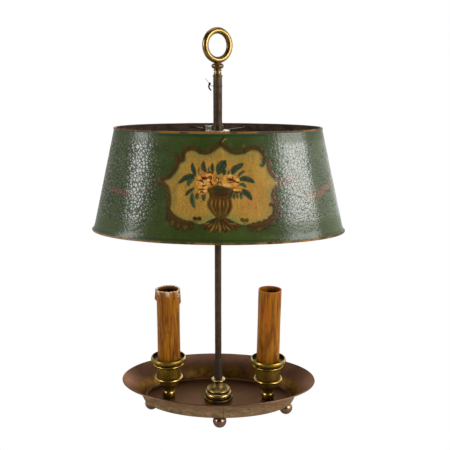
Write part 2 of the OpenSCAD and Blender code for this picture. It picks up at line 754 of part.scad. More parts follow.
module wiring_cover() {
    bottom = foot_h - cover_h;
    pass_y = -(cup_x - cover_l / 2) * tan(lead_turn);
    pass_z = lookup(norm([cup_x - cover_l / 2, pass_y]), LEAD);
    color([0.25, 0.20, 0.16]) difference() {
        union() {
            translate([-cover_l / 2, cover_y - cover_w / 2, bottom]) cube([cover_l, cover_w, cover_h]);
            for (s = [-1, 1]) translate([s * fix_x, cover_y, foot_h - cover_wall])
                translate([-(ear_w + cover_wall) / 2, -ear_w / 2, 0])
                    cube([ear_w + cover_wall, ear_w, cover_wall]);
        }
        translate([-cover_l / 2 + cover_wall, cover_y - cover_w / 2 + cover_wall, bottom + cover_wall])
            cube([cover_l - 2 * cover_wall, cover_w - 2 * cover_wall, cover_h]);
        for (s = [-1, 1]) {
            translate([s * fix_x, cover_y, bottom]) cylinder(d = fix_d + 2 * fit, h = 2 * cover_h);
            translate([s * (cover_l / 2 - 2 * cover_wall), pass_y, pass_z])
                rotate([0, s * 90, 0]) cylinder(d = lead_d + 2 * lead_gap, h = 4 * cover_wall);
        }
        translate([inlet_x, cover_y + cover_w / 2 - 2 * cover_wall, inlet_z])
            rotate([-90, 0, 0]) cylinder(d = inlet_neck + 2 * fit, h = 4 * cover_wall);
    }
}

module cover_screws() {
    head_t = 1.6;
    head_d = 1.9 * fix_d;
    sink = 0.5;        // depth of the screws' tips below the dish's floor
    bottom = foot_h - cover_wall;
    color("silver") for (s = [-1, 1]) translate([s * fix_x, cover_y, 0]) {
        translate([0, 0, bottom - head_t]) cylinder(d = head_d, h = head_t);
        translate([0, 0, bottom - eps]) cylinder(d = fix_d, h = floor_z - sink - bottom + eps);
    }
}

module cord_inlet() {
    wall_y = cover_y + cover_w / 2;
    color([0.10, 0.09, 0.09]) translate([inlet_x, wall_y - cover_wall, inlet_z]) rotate([-90, 0, 0])
        difference() {
            union() {
                translate([0, 0, -inlet_t]) cylinder(d = inlet_d, h = inlet_t);
                translate([0, 0, -inlet_t]) cylinder(d = inlet_neck, h = cover_wall + 2 * inlet_t);
                translate([0, 0, cover_wall]) cylinder(d = inlet_d, h = inlet_t);
            }
            translate([0, 0, -inlet_t - eps]) cylinder(d = inlet_bore, h = cover_wall + 3 * inlet_t);
        }
}

// ---- lock and shade ----

module lock_collar() {
    bottom = seat_z - seat_t;
    color([0.66, 0.52, 0.24]) difference() {
        union() {
            translate([0, 0, bottom]) cylinder(d = boss_d, h = hub_z + boss_rise - bottom);
            translate([0, 0, bottom]) cylinder(d = seat_d, h = seat_t);
            translate([0, 0, screw_z]) rotate([0, -90, 0]) cylinder(d = ear_d, h = ear_reach);
        }
        translate([0, 0, bottom - eps]) cylinder(d = boss_id, h = hub_z + boss_rise - bottom + 2 * eps);
        translate([0, 0, screw_z]) rotate([0, -90, 0]) cylinder(d = screw_d + 2 * run, h = ear_reach + eps);
    }
}

module thumbscrew() {
    tip = upper_d / 2 + run;
    face = ear_reach + run;
    shoulder = 0.3;    // how far the neck stands out of the thread
    round_d = 1.3 * spade_w;
    color([0.82, 0.72, 0.50]) translate([0, 0, screw_z]) rotate([0, -90, 0]) {
        translate([0, 0, tip]) cylinder(d = screw_d, h = face + spade_neck - tip);
        translate([0, 0, face]) cylinder(d = screw_d + 2 * shoulder, h = spade_neck);
        translate([0, 0, face + spade_neck]) intersection() {
            translate([-spade_w / 2, -spade_t / 2, 0]) cube([spade_w, spade_t, spade_len]);
            translate([0, spade_t, spade_len - spade_w / 2]) rotate([90, 0, 0])
                cylinder(d = round_d, h = 2 * spade_t);
        }
    }
}

shade_da = shade_bot_a - shade_top_a;
shade_db = shade_bot_b - shade_top_b;
bead_r = bead_d / 2;

// Half sizes of the shade's outer face at a height above its bottom edge
function shade_ring(h, inset) =
    let (u = h / shade_h, curl = lip_out * pow(max(0, 1 - h / lip_h), 2))
    [shade_bot_a - u * shade_da + curl - inset, shade_bot_b - u * shade_db + curl - inset,
     shade_bot + h];
LIP_H = [for (i = [0:4]) bead_r + (lip_h - bead_r) * i / 4];

// Everything inside the shade's wall, up to its top edge
module shade_core() {
    oval_loft([shade_ring(lip_h, shade_t), shade_ring(shade_h, shade_t)]);
}

module shade_spider() {
    arm_z = disc_z + disc_t / 2;
    color([0.66, 0.52, 0.24]) difference() {
        union() {
            translate([0, 0, disc_z]) cylinder(d = disc_d, h = disc_t);
            intersection() {
                for (a = [arm_turn, 180 - arm_turn, 180 + arm_turn, 360 - arm_turn])
                    bar([0, 0, arm_z], [shade_top_a * cos(a), shade_top_a * sin(a), arm_z], arm_d);
                shade_core();
            }
        }
        translate([0, 0, disc_z - disc_t]) cylinder(d = boss_d + 2 * run, h = 3 * disc_t);
    }
}

module shade_shell() {
    top_h = shade_h - bead_r;
    outer = concat([for (h = LIP_H) shade_ring(h, 0)], [shade_ring(top_h, 0)]);
    inner = concat([shade_ring(top_h, shade_t)],
        [for (i = [len(LIP_H) - 1:-1:0]) shade_ring(LIP_H[i], shade_t)]);
    color([0.27, 0.33, 0.20]) oval_loft(concat(outer, inner), closed = true);
}

// A wired edge: an eight-sided bead round the shade, centred on its wall
module edge_bead(h) {
    mid = shade_ring(h, shade_t / 2);
    color([0.48, 0.33, 0.12]) oval_loft([for (k = [0:7])
        let (a = 45 * k - 67.5, d = bead_r / cos(22.5))
        [mid[0] + d * cos(a), mid[1] + d * cos(a), mid[2] + d * sin(a)]], closed = true);
}

module shade_top_bead() {
    edge_bead(shade_h);
}

module shade_bottom_bead() {
    edge_bead(0);
}

tray();
foot(foot_skew, -foot_y);  // foot_front
foot(0, foot_y);  // foot_back
foot(-foot_x, 0);  // foot_left
foot(foot_x, -foot_lag);  // foot_right
pedestal();
stem_ferrule();
lower_tube();
tube_joiner();
upper_tube();
tie_rod();
stem_washer();
stem_nut();
finial_collar();
ring_handle();
tag_wire();
cup(-1);  // left_cup
cup(1);  // right_cup
nipple(-1);  // left_nipple
nipple(1);  // right_nipple
lock_nut(-1);  // left_lock_nut
lock_nut(1);  // right_lock_nut
cup_washer(-1);  // left_washer
cup_washer(1);  // right_washer
base_nut(-1);  // left_base_nut
base_nut(1);  // right_base_nut
holder(-1);  // left_holder
holder(1);  // right_holder
shell(-1);  // left_shell
shell(1);  // right_shell
contact(-1);  // left_contact
contact(1);  // right_contact
lead(-1);  // left_lead
lead(1);  // right_lead
terminal_block();
terminal_screws();
wiring_cover();
cover_screws();
cord_inlet();
left_sleeve();
right_sleeve();
lock_collar();
thumbscrew();
shade_spider();
shade_shell();
shade_top_bead();
shade_bottom_bead();
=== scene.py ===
"""The looks of the bouillotte lamp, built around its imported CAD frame.

Lengths are millimetres, as in the part's source, and become metres where a mesh is made; stage,
lights and camera are placed in metres. Colours are screen colours, 0 to 255, made linear by
srgb().
"""
import json
import math

import bpy
import numpy as np
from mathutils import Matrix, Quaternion, Vector, noise


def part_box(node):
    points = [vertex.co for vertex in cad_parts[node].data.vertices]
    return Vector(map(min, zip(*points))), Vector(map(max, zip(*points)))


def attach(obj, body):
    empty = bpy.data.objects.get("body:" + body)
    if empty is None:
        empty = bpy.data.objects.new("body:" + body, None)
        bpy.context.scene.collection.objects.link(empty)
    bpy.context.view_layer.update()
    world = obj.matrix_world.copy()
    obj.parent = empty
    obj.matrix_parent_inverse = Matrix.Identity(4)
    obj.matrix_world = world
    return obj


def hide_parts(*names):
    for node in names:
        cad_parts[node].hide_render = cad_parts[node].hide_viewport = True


MM = 0.001
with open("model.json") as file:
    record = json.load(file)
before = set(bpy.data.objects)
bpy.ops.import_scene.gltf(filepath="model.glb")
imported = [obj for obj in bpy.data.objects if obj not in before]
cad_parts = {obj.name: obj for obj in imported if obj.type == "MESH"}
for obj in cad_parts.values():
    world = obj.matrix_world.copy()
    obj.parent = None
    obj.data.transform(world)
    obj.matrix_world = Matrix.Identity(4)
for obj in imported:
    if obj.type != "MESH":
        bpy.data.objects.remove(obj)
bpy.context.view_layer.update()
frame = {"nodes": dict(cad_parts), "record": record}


def node_mm(node):
    """Lowest and highest corners of a CAD node, in millimetres."""
    low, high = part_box(node)
    return low / MM, high / MM


def half_sizes(node):
    """Half sizes of a CAD node along X and Y."""
    low, high = node_mm(node)
    return (high.x - low.x) / 2, (high.y - low.y) / 2


# ---- sizes ----

# Stem: the bore of its fittings for the tie rod
ROD_BORE = 2.05

# Dish: half sizes of the floor and the rim, height of the wall, sheet, bend and underside
TRAY_FLOOR = (87.0, 53.0)
TRAY_RIM = half_sizes("tray")
TRAY_WALL = 24.5
TRAY_SHEET = 1.2
TRAY_BEND = 4.0
TRAY_UNDER = node_mm("tray")[0].z
# The dish's soldered seam, right of its middle
SEAM_X = 8.3

# Shade: sheet, bead on both edges, curl of the lower edge, and the outer face between the beads
SHADE_SHEET = 0.8
BEAD_R = 1.2
LIP_OUT = 1.2
LIP_HEIGHT = 8.0
SHADE_FOOT = node_mm("shade_bottom_bead")[0].z + BEAD_R
SHADE_HEIGHT = node_mm("shade_top_bead")[0].z + BEAD_R - SHADE_FOOT
# How far a bead stands out of the sheet
BEAD_OUT = BEAD_R - SHADE_SHEET / 2
SHADE_TOP = [half - BEAD_OUT for half in half_sizes("shade_top_bead")]
SHADE_BOTTOM = [half - BEAD_OUT - LIP_OUT for half in half_sizes("shade_bottom_bead")]
# Size of the cracks' pattern in its varnish
CRACKLE = 3.4

# Candles: the cups' middles and the sleeves, of which the right one leans
CUP_X = {side: sum(corner.x for corner in node_mm(side + "_cup")) / 2 for side in ("left", "right")}
SLEEVE_R = 13.0
SLEEVE_WALL = 1.2
SLEEVE_FOOT = node_mm("left_sleeve")[0].z
SLEEVE_LENGTH = node_mm("left_sleeve")[1].z - SLEEVE_FOOT
RIGHT_LEAN = math.radians(1)
# How far each sleeve's foot stands right of its cup's middle
SLEEVE_SHIFT = {"left": 0.7, "right": -0.5}
# Wax drips: angle round the sleeve in degrees, length and bulge
DRIPS = ((-6, 18, 2.0), (38, 9, 1.0), (78, 14, 1.3), (125, 11, 1.0), (176, 15, 2.8),
         (212, 10, 1.2), (262, 9, 1.0), (309, 11, 1.3))
# Where the wax is flaked white: angle, spread in degrees and depth below the rim
FLAKES = ((196, 11, 7), (222, 7, 4), (276, 9, 5), (338, 12, 8))

# Finial: the spigot in the tube, the ring's wire and how far the ring is turned
FIN_SPIGOT = 3.0
RING_WIRE = 6.8
RING_TURN = math.radians(36)

# Painting: how far its middle lies right of the shade's, its mesh and its lift off the sheet
PAINT_SHIFT = 6.0
PAINT_STEP = 0.45
PAINT_LIFT = 0.05


# ---- general mesh helpers ----

def srgb(red, green, blue):
    """A screen colour as a linear one."""
    parts = [c / 255 for c in (red, green, blue)]
    return [c / 12.92 if c <= 0.04045 else ((c + 0.055) / 1.055) ** 2.4 for c in parts]


def make_piece(name, points, faces, slot, nodes=(), body="base", look=None, sharp=38, fields=None):
    """A mesh object from points in millimetres, riding on a body and standing for CAD nodes. Its
    material is its slot's, or else the one named look. Edges over sharp degrees stay sharp."""
    mesh = bpy.data.meshes.new(name)
    mesh.from_pydata([(x * MM, y * MM, z * MM) for x, y, z in points], [], faces)
    mesh.materials.append(MATERIALS[look or slot])
    mesh.shade_smooth()
    mesh.set_sharp_from_angle(angle=math.radians(sharp))
    for field, values in (fields or {}).items():
        values = np.asarray(values, dtype=np.float32)
        kind = "FLOAT_COLOR" if values.ndim == 2 else "FLOAT"
        layer = mesh.attributes.new(field, kind, "POINT")
        layer.data.foreach_set("color" if values.ndim == 2 else "value", values.ravel())
    mesh.update()
    piece = bpy.data.objects.new(name, mesh)
    bpy.context.scene.collection.objects.link(piece)
    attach(piece, body)
    if nodes:
        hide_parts(*nodes)
    return piece


def grid_faces(rows, columns, close_rows=False):
    """Quads over a grid of points whose columns close on themselves."""
    faces = []
    for r in range(rows if close_rows else rows - 1):
        for c in range(columns):
            here, above = r * columns, (r + 1) % rows * columns
            right = (c + 1) % columns
            faces.append((here + c, here + right, above + right, above + c))
    return faces


def half_round(r, out, low, high, steps=14):
    """Profile points of a rounded moulding that stands out from radius r."""
    return [(r + out * math.sin(math.pi * i / steps),
             low + (high - low) * (1 - math.cos(math.pi * i / steps)) / 2)
            for i in range(steps + 1)]


def bent(start, corner, end, steps=12):
    """Profile points of a curve from start to end, drawn towards corner."""
    points = []
    for i in range(steps + 1):
        t = i / steps
        points.append(tuple((1 - t) ** 2 * a + 2 * t * (1 - t) * b + t * t * c
                            for a, b, c in zip(start, corner, end)))
    return points


def eased(points, radius, steps=4):
    """The closed profile with its corners rounded by up to the radius. Corners that hardly turn
    stay as they are."""
    straight, share = -0.9, 0.45
    result = []
    for i, here in enumerate(points):
        back = np.subtract(points[i - 1], here)
        ahead = np.subtract(points[(i + 1) % len(points)], here)
        len_back, len_ahead = np.hypot(*back), np.hypot(*ahead)
        if np.dot(back, ahead) / (len_back * len_ahead) < straight:
            result.append(here)
            continue
        cut = min(radius, share * len_back, share * len_ahead)
        start = here + back / len_back * cut
        end = here + ahead / len_ahead * cut
        result += bent(tuple(start), here, tuple(end), steps)
    return result


def ridges(profile, reach=1.2):
    """How far each profile point stands out, from 0 in a groove to 1 on a ridge."""
    p = np.array(profile)
    ahead, back = np.roll(p, -1, 0) - p, p - np.roll(p, 1, 0)
    turn = np.arctan2(back[:, 0] * ahead[:, 1] - back[:, 1] * ahead[:, 0],
                      (back * ahead).sum(1))
    length = (np.hypot(*ahead.T) + np.hypot(*back.T)) / 2
    along = np.cumsum(length)
    gap = np.abs(along[:, None] - along[None, :])
    gap = np.minimum(gap, along[-1] - gap)
    weight = np.exp(-(gap / reach) ** 2)
    bend = (weight * turn[None, :]).sum(1)
    return 0.5 + 0.5 * np.tanh(1.3 * bend)


def circle(count):
    """The angles of so many even steps round a circle."""
    return [2 * math.pi * i / count for i in range(count)]


def spun(profile, columns):
    """Rings of points: a profile of (radius, height) spun round the Z axis."""
    return [(r * math.cos(a), r * math.sin(a), z) for r, z in profile for a in circle(columns)]


def lathe(name, profile, centre, slot, node, look=None, columns=96, wobble=0.0,
          rub=lambda r, z: 1.0):
    """A turned piece: a closed profile of (radius, height), counter-clockwise, spun round an
    upright axis. rub(radius, height) is how much its ridges are rubbed bright there."""
    lumps, lump_height = 1.7, 9
    cx, cy, cz = centre
    points = []
    for r, z in profile:
        for a in circle(columns):
            x, y = math.cos(a), math.sin(a)
            spot = Vector((x * lumps + cx, y * lumps, (z + cz) / lump_height))
            swell = wobble * noise.noise(spot)
            points.append((cx + (r + swell) * x, cy + (r + swell) * y, cz + z))
    rubbed = [ridge * rub(r, z) for (r, z), ridge in zip(profile, ridges(profile))]
    return make_piece(name, points, grid_faces(len(profile), columns, close_rows=True), slot,
                      [node], look=look, fields={"ridge": np.repeat(rubbed, columns)})


def sweep(path, radius, sides=12):
    """Points and faces of a round bar along a path, with closed ends. radius(t) is its
    radius at a share t of the path."""
    path = [Vector(p) for p in path]
    last = len(path) - 1
    points, side = [], Vector((0.31, 0.93, 0.2))
    for i, here in enumerate(path):
        along = (path[min(i + 1, last)] - path[max(i - 1, 0)]).normalized()
        side = (side - along * side.dot(along)).normalized()
        up = along.cross(side)
        for a in circle(sides):
            out = side * math.cos(a) + up * math.sin(a)
            points.append(tuple(here + out * radius(i / last)))
    faces = grid_faces(last + 1, sides)
    faces.append(tuple(reversed(range(sides))))
    faces.append(tuple(last * sides + k for k in range(sides)))
    return points, faces


def joined(parts):
    """Several (points, faces) as one."""
    points, faces = [], []
    for more_points, more_faces in parts:
        faces += [tuple(i + len(points) for i in f) for f in more_faces]
        points += more_points
    return points, faces


# ---- materials ----

class Nodes:
    """A node tree, with short calls for its arithmetic."""

    def __init__(self, tree):
        self.nodes, self.links = tree.nodes, tree.links

    def add(self, kind, inputs=None, **settings):
        node = self.nodes.new(kind)
        for key, value in settings.items():
            setattr(node, key, value)
        for key, value in (inputs or {}).items():
            self.put(node.inputs[key], value)
        return node

    def put(self, socket, value):
        if isinstance(value, bpy.types.NodeSocket):
            self.links.new(value, socket)
        elif isinstance(value, (list, tuple)) and len(value) == 3 and socket.type == "RGBA":
            socket.default_value = (*value, 1)
        else:
            socket.default_value = value

    def math(self, operation, a, b=0.0):
        node = self.add("ShaderNodeMath", operation=operation)
        self.put(node.inputs[0], a)
        self.put(node.inputs[1], b)
        return node.outputs[0]

    def times(self, a, b):
        return self.math("MULTIPLY", a, b)

    def span(self, value, low, high, to_low=0.0, to_high=1.0):
        """The value mapped smoothly from one span to another."""
        return self.add("ShaderNodeMapRange", {
            "Value": value, "From Min": low, "From Max": high, "To Min": to_low,
            "To Max": to_high}, interpolation_type="SMOOTHSTEP").outputs["Result"]


class Shader(Nodes):
    """A node material, with short calls for the nodes used here. Named values are set on the
    surface's own sockets."""

    def __init__(self, name, **fixed):
        self.material = bpy.data.materials.new(name)
        self.material.use_nodes = True
        super().__init__(self.material.node_tree)
        self.surface = self.nodes["Principled BSDF"]
        for socket, value in fixed.items():
            self.surface.inputs[socket.replace("_", " ")].default_value = value
        self.place = self.add("ShaderNodeTexCoord").outputs["Object"]

    def stretched(self, x=1.0, y=1.0, z=1.0):
        """The place in metres, scaled along each axis."""
        return self.add("ShaderNodeMapping", {"Vector": self.place, "Scale": (x, y, z)}
                        ).outputs["Vector"]

    def axis(self, name):
        """The place along one axis, in metres."""
        return self.add("ShaderNodeSeparateXYZ", {"Vector": self.place}).outputs[name]

    def from_stem(self):
        """Distance from the stem's middle line, in metres."""
        return self.add("ShaderNodeVectorMath", {0: self.stretched(1, 1, 0)}, operation="LENGTH"
                        ).outputs["Value"]

    def noise(self, size, detail=4.0, place=None, rough=0.55, distort=0.0):
        """Noise with features of about size millimetres."""
        return self.add("ShaderNodeTexNoise", {
            "Vector": place or self.place, "Scale": 1 / (size * MM), "Detail": detail,
            "Roughness": rough, "Distortion": distort}).outputs["Fac"]

    def cells(self, size, feature, place):
        """Distance in a pattern of cells of about size millimetres."""
        return self.add("ShaderNodeTexVoronoi", {"Vector": place, "Scale": 1 / (size * MM)},
                        feature=feature).outputs["Distance"]

    def beyond(self, place, limit, soft):
        """1 where a place in metres is past a limit in millimetres, 0 before it."""
        return self.span(place, (limit - soft) * MM, (limit + soft) * MM)

    def within(self, place, limit, soft):
        """1 where a place in metres is short of a limit in millimetres, 0 past it."""
        return self.beyond(place, limit, -soft)

    def mix(self, share, first, second):
        node = self.add("ShaderNodeMix", data_type="RGBA")
        for socket, value in zip([node.inputs[0], node.inputs[6], node.inputs[7]],
                                 (share, first, second)):
            self.put(socket, value)
        return node.outputs[2]

    def over(self, base, colour, share, amount):
        """The base under a colour that covers a share of it, times an amount."""
        return self.mix(self.times(share, amount), base, colour)

    def field(self, name, output="Fac"):
        """A value or colour that the mesh holds at each point."""
        return self.add("ShaderNodeAttribute", attribute_name=name).outputs[output]

    def bump(self, value, depth, under=None, strength=1.0):
        """Surface relief of so many millimetres."""
        inputs = {"Height": value, "Distance": depth * MM, "Strength": strength}
        if under:
            inputs["Normal"] = under
        return self.add("ShaderNodeBump", inputs).outputs["Normal"]

    def finish(self, colour, roughness, normal=None, metal=None):
        self.put(self.surface.inputs["Base Color"], colour)
        self.put(self.surface.inputs["Roughness"], roughness)
        if normal:
            self.put(self.surface.inputs["Normal"], normal)
        if metal is not None:
            self.put(self.surface.inputs["Metallic"], metal)
        return self.material


def turned_metal(name, bright, stained, grime, shine, polish=0.5, metal=(0.75, 1.0), uneven=1.0):
    """Old turned metal: rubbed bright on ridges, stained between them, dark in grooves. shine is
    its roughness where bright and where dark, polish the height at which it turns bright."""
    s = Shader(name)
    fine = s.noise(1.1, 4)
    worn = s.math("ADD", s.field("ridge"),
                  s.span(s.noise(7, 5, distort=0.6), 0.3, 0.7, -0.22 * uneven, 0.22 * uneven))
    worn = s.math("ADD", worn, s.span(fine, 0.3, 0.7, -0.1 * uneven, 0.1 * uneven))
    base = s.mix(s.span(worn, polish - 0.22, polish + 0.3), srgb(*stained), srgb(*bright))
    base = s.mix(s.span(worn, polish - 0.26, polish - 0.52), base, srgb(*grime))
    rough = s.span(worn, polish - 0.4, polish + 0.3, shine[1], shine[0])
    relief = s.bump(s.noise(2.2, 3, s.stretched(0.08, 0.08, 3.0)), 0.02 * uneven)
    relief = s.bump(fine, 0.035 * uneven, relief)
    return s.finish(base, rough, relief, s.span(worn, polish - 0.5, polish, *metal))


def plain_metal(name, colour, dark):
    """Plain metal of hidden fittings, lightly tarnished."""
    s = Shader(name, Metallic=1.0)
    stain = s.span(s.noise(5, 5), 0.35, 0.7)
    rough = s.math("ADD", s.times(stain, 0.2), 0.35)
    relief = s.bump(s.noise(0.9, 3), 0.03)
    return s.finish(s.mix(stain, srgb(*colour), srgb(*dark)), rough, relief)


def moulded(name, colour, dark, roughness):
    """Moulded plastic or rubber with a faint texture."""
    s = Shader(name)
    stain = s.span(s.noise(4, 4), 0.35, 0.7)
    base = s.mix(stain, srgb(*colour), srgb(*dark))
    return s.finish(base, roughness, s.bump(s.noise(0.5, 2), 0.02))


def hub_metal():
    """The shade's holder: a dark collar, a pale plated disc round it and dark rods."""
    collar_r, disc_r, soft = 6.6, 13.3, 0.2
    s = Shader("hub_metal", Metallic=0.9)
    out = s.from_stem()
    stain = s.span(s.noise(3, 5), 0.35, 0.7)
    disc = s.mix(stain, srgb(212, 206, 192), srgb(184, 174, 152))
    bronze = s.mix(stain, srgb(84, 68, 48), srgb(58, 46, 34))
    pale = s.times(s.beyond(out, collar_r, soft), s.within(out, disc_r, soft))
    rough = s.math("ADD", s.times(stain, 0.15), 0.42)
    return s.finish(s.mix(pale, bronze, disc), rough, s.bump(s.noise(0.9, 3), 0.03))


def tied_wire():
    """Dark wire, as brown as the stem where it lies on it."""
    bound_r, soft = 5.95, 0.25
    s = Shader("tag_wire_dark", Metallic=0.6)
    stain = s.span(s.noise(1.5, 4), 0.35, 0.7)
    free = s.mix(stain, srgb(44, 42, 38), srgb(24, 23, 21))
    bound = s.mix(stain, srgb(92, 74, 56), srgb(74, 58, 44))
    base = s.mix(s.within(s.from_stem(), bound_r, soft), free, bound)
    return s.finish(base, 0.6, s.bump(s.noise(0.9, 3), 0.03))


def tray_patina():
    """Copper-brown sheet: ochre near the fold inside, partly cleaner metal and partly a painted
    reflection; greyer, streaked and smudged outside, with a dark seam in front."""
    s = Shader("tray_patina", Specular_Tint=(*srgb(236, 214, 196), 1))
    cloud = s.noise(26, 6, distort=0.8)
    blotch = s.noise(6, 5, distort=0.5)
    fine = s.noise(0.9, 4)
    floor = s.mix(s.span(cloud, 0.35, 0.65), srgb(72, 46, 28), srgb(84, 58, 38))
    wall = s.mix(s.span(blotch, 0.35, 0.7), srgb(116, 76, 54), srgb(112, 86, 68))
    ochre = s.mix(s.span(blotch, 0.3, 0.7), srgb(142, 108, 40), srgb(104, 68, 24))
    inside = s.mix(s.field("wall"), floor, wall)
    # Ochre near the fold inside: partly cleaner metal, partly a painted reflection
    inside = s.over(inside, ochre, s.field("fold"), s.span(cloud, 0.3, 0.55))

    outer = s.mix(s.span(blotch, 0.3, 0.68), srgb(172, 138, 104), srgb(146, 122, 84))
    streak = s.noise(9, 4, s.stretched(1, 1, 2.6), distort=1.2)
    outer = s.mix(s.span(streak, 0.5, 0.66), outer, srgb(188, 158, 128))
    from_seam = s.math("ABSOLUTE", s.math("SUBTRACT", s.axis("X"), SEAM_X * MM))
    seam = s.times(s.within(from_seam, 0.55, 0.35), s.within(s.axis("Y"), -10, 10))
    outer = s.over(outer, srgb(92, 72, 54), seam, 0.6)
    smudge = s.noise(17, 5, distort=1.5)
    outer = s.over(outer, srgb(112, 88, 62), s.span(smudge, 0.5, 0.66), 0.6)

    base = s.mix(s.field("outside"), inside, outer)
    base = s.over(base, srgb(112, 82, 62), s.field("rim"), s.span(fine, 0.3, 0.6))
    pits = s.span(s.noise(2.4, 3), 0.66, 0.78)
    base = s.over(base, srgb(48, 30, 18), pits, 0.55)
    relief = s.bump(cloud, 0.5, strength=0.5)
    relief = s.bump(fine, 0.05, relief)
    relief = s.bump(pits, -0.08, relief)
    return s.finish(base, s.span(cloud, 0.3, 0.7, 0.34, 0.5), relief, 0.85)


def candle_wax(name, streaks, patch=None):
    """Amber imitation candle with brown streaks down its length. Where it is worn it has the
    patch's colour or, without a patch, white flakes. It turns dark brown inside, a painted shade
    in the hollow, and along the right one's crack."""
    s = Shader(name, Specular_IOR_Level=0.12)
    along = s.noise(3.2, 5, s.stretched(1, 1, 0.09), distort=0.3)
    hair = s.noise(0.9, 4, s.stretched(1, 1, 0.05))
    base = s.mix(s.span(along, 0.35, 0.66), srgb(174, 110, 18), srgb(120, 64, 7))
    base = s.over(base, srgb(84, 44, 10), s.span(hair, 0.52, 0.72), streaks)
    base = s.over(base, srgb(158, 108, 36), s.span(s.noise(14, 4), 0.5, 0.72), 0.45)
    smudge = s.noise(9, 4, s.stretched(1.3, 1.3, 0.4), distort=0.8)
    base = s.over(base, srgb(92, 50, 22), s.span(smudge, 0.52, 0.68), 0.7 * streaks)
    if patch:
        base = s.over(base, srgb(*patch), s.field("worn"), s.span(along, 0.32, 0.6))
    else:
        flaked = s.span(s.noise(2.4, 4), 0.4, 0.55)
        base = s.over(base, srgb(240, 220, 190), s.field("worn"), flaked)
    # Dark brown inside the sleeve, a painted shade that deepens downwards, and along the right
    # sleeve's crack
    base = s.mix(s.field("hollow"), base, srgb(58, 30, 12))
    relief = s.bump(hair, 0.06, s.bump(along, 0.25))
    return s.finish(base, s.span(along, 0.3, 0.7, 0.36, 0.5), relief)


def shade_varnish():
    """Green paint under a crackled varnish; the field paint lays the painted ornament on it. The
    varnish is a coat that is missing in the cracks, which are wider towards the left end."""
    upper_line, lower_line = SHADE_HEIGHT - 2.8, 3.2
    wide_crack, narrow_crack, half_run = 0.18, 0.055, 70
    s = Shader("shade_green", Coat_Roughness=0.2, Coat_IOR=1.6, Specular_IOR_Level=0.12)
    warp = s.add("ShaderNodeTexNoise", {"Vector": s.place, "Scale": 260, "Detail": 2.0})
    shift = s.add("ShaderNodeVectorMath", {0: warp.outputs["Color"], 1: (0.5, 0.5, 0.5)},
                  operation="SUBTRACT")
    moved = s.add("ShaderNodeVectorMath", {0: shift.outputs[0], 1: (0.0016, 0.0016, 0.0016),
                                           2: s.place}, operation="MULTIPLY_ADD").outputs[0]
    height = s.math("SUBTRACT", s.axis("Z"), SHADE_FOOT * MM)
    cloud, blotch = s.noise(34, 4), s.noise(9, 4)
    whole = s.times(s.beyond(height, 19, 7), s.within(height, 99, 5))
    width = s.span(s.axis("X"), -half_run * MM, half_run * MM, wide_crack, narrow_crack)
    width = s.math("ADD", s.times(width, whole), 0.012)
    edge = s.cells(CRACKLE, "DISTANCE_TO_EDGE", moved)
    gloss = s.span(s.math("DIVIDE", edge, width), 0.35, 1.0)
    dome = s.cells(CRACKLE, "F1", moved)

    green = s.mix(s.span(cloud, 0.35, 0.65), srgb(52, 64, 20), srgb(62, 77, 28))
    green = s.over(green, srgb(80, 95, 47), s.span(blotch, 0.5, 0.7), 0.4)
    from_upper = s.math("ABSOLUTE", s.math("SUBTRACT", height, upper_line * MM))
    green = s.over(green, srgb(16, 62, 48), s.within(from_upper, 1.1, 0.5), 0.7)
    from_lower = s.math("ABSOLUTE", s.math("SUBTRACT", height, lower_line * MM))
    green = s.over(green, srgb(34, 48, 18), s.within(from_lower, 0.75, 0.35), 0.6)
    colour = s.mix(s.field("paint", "Alpha"), green, s.field("paint", "Color"))
    colour = s.over(colour, srgb(26, 30, 12), s.math("SUBTRACT", 1.0, gloss), 0.25)
    bronze = s.mix(s.span(blotch, 0.35, 0.65), srgb(86, 68, 56), srgb(58, 46, 38))
    inside = s.field("inside")
    colour = s.mix(inside, colour, bronze)

    film = s.math("ADD", s.times(gloss, 0.84), 0.16)
    coat = s.times(film, s.span(blotch, 0.3, 0.7, 1.0, 0.8))
    coat = s.times(coat, s.span(whole, 0.0, 1.0, 0.45, 1.0))
    coat = s.times(coat, s.span(inside, 0.0, 1.0, 1.0, 0.25))
    s.put(s.surface.inputs["Coat Weight"], coat)
    s.put(s.surface.inputs["Coat Normal"], s.bump(gloss, 0.012, s.bump(dome, -0.09)))
    return s.finish(colour, 0.5)


def gilt_edge():
    """Bronze paint on the wired edges, rubbed through to brown in places and pale at the left end
    of the lower edge. The half behind is painted darker, a painted shade."""
    s = Shader("gilt_edge", Specular_IOR_Level=0.3)
    worn = s.span(s.noise(24, 4, distort=1.2), 0.42, 0.58)
    base = s.mix(worn, srgb(150, 104, 42), srgb(92, 66, 36))
    base = s.mix(s.span(s.noise(11, 4), 0.58, 0.68), base, srgb(50, 46, 26))
    pale = s.times(s.within(s.axis("X"), -75, 25), s.within(s.axis("Z"), 275, 25))
    base = s.over(base, srgb(160, 138, 104), pale, 0.6)
    # Darker on the half behind: a painted shade
    base = s.mix(s.beyond(s.axis("Y"), 4, 8), base, srgb(66, 50, 38))
    return s.finish(base, 0.5, s.bump(s.noise(1.2, 4), 0.12), 0.2)


# Turned metals: the colours on ridges, between them and in grooves, and the finish
TURNED = {
    "foot_metal": ((152, 120, 100), (114, 86, 68), (62, 46, 36), {"shine": (0.28, 0.42)}),
    "turned_brass": ((210, 174, 88), (142, 114, 38), (66, 56, 26),
                     {"shine": (0.3, 0.44), "polish": 0.64}),
    "dull_brass": ((196, 166, 98), (134, 112, 58), (62, 54, 34),
                   {"shine": (0.34, 0.48), "polish": 0.6}),
    "dark_bronze": ((84, 67, 49), (68, 51, 38), (54, 42, 31),
                    {"shine": (0.56, 0.7), "metal": (0.5, 0.7)}),
    "polished_brass": ((152, 126, 74), (112, 88, 50), (72, 58, 34),
                       {"shine": (0.3, 0.42), "uneven": 0.35}),
}
# Plain metals: colour and tarnish
PLAIN = {"steel": ((186, 184, 178), (120, 116, 108)),
         "fitting_brass": ((190, 158, 90), (130, 100, 46))}
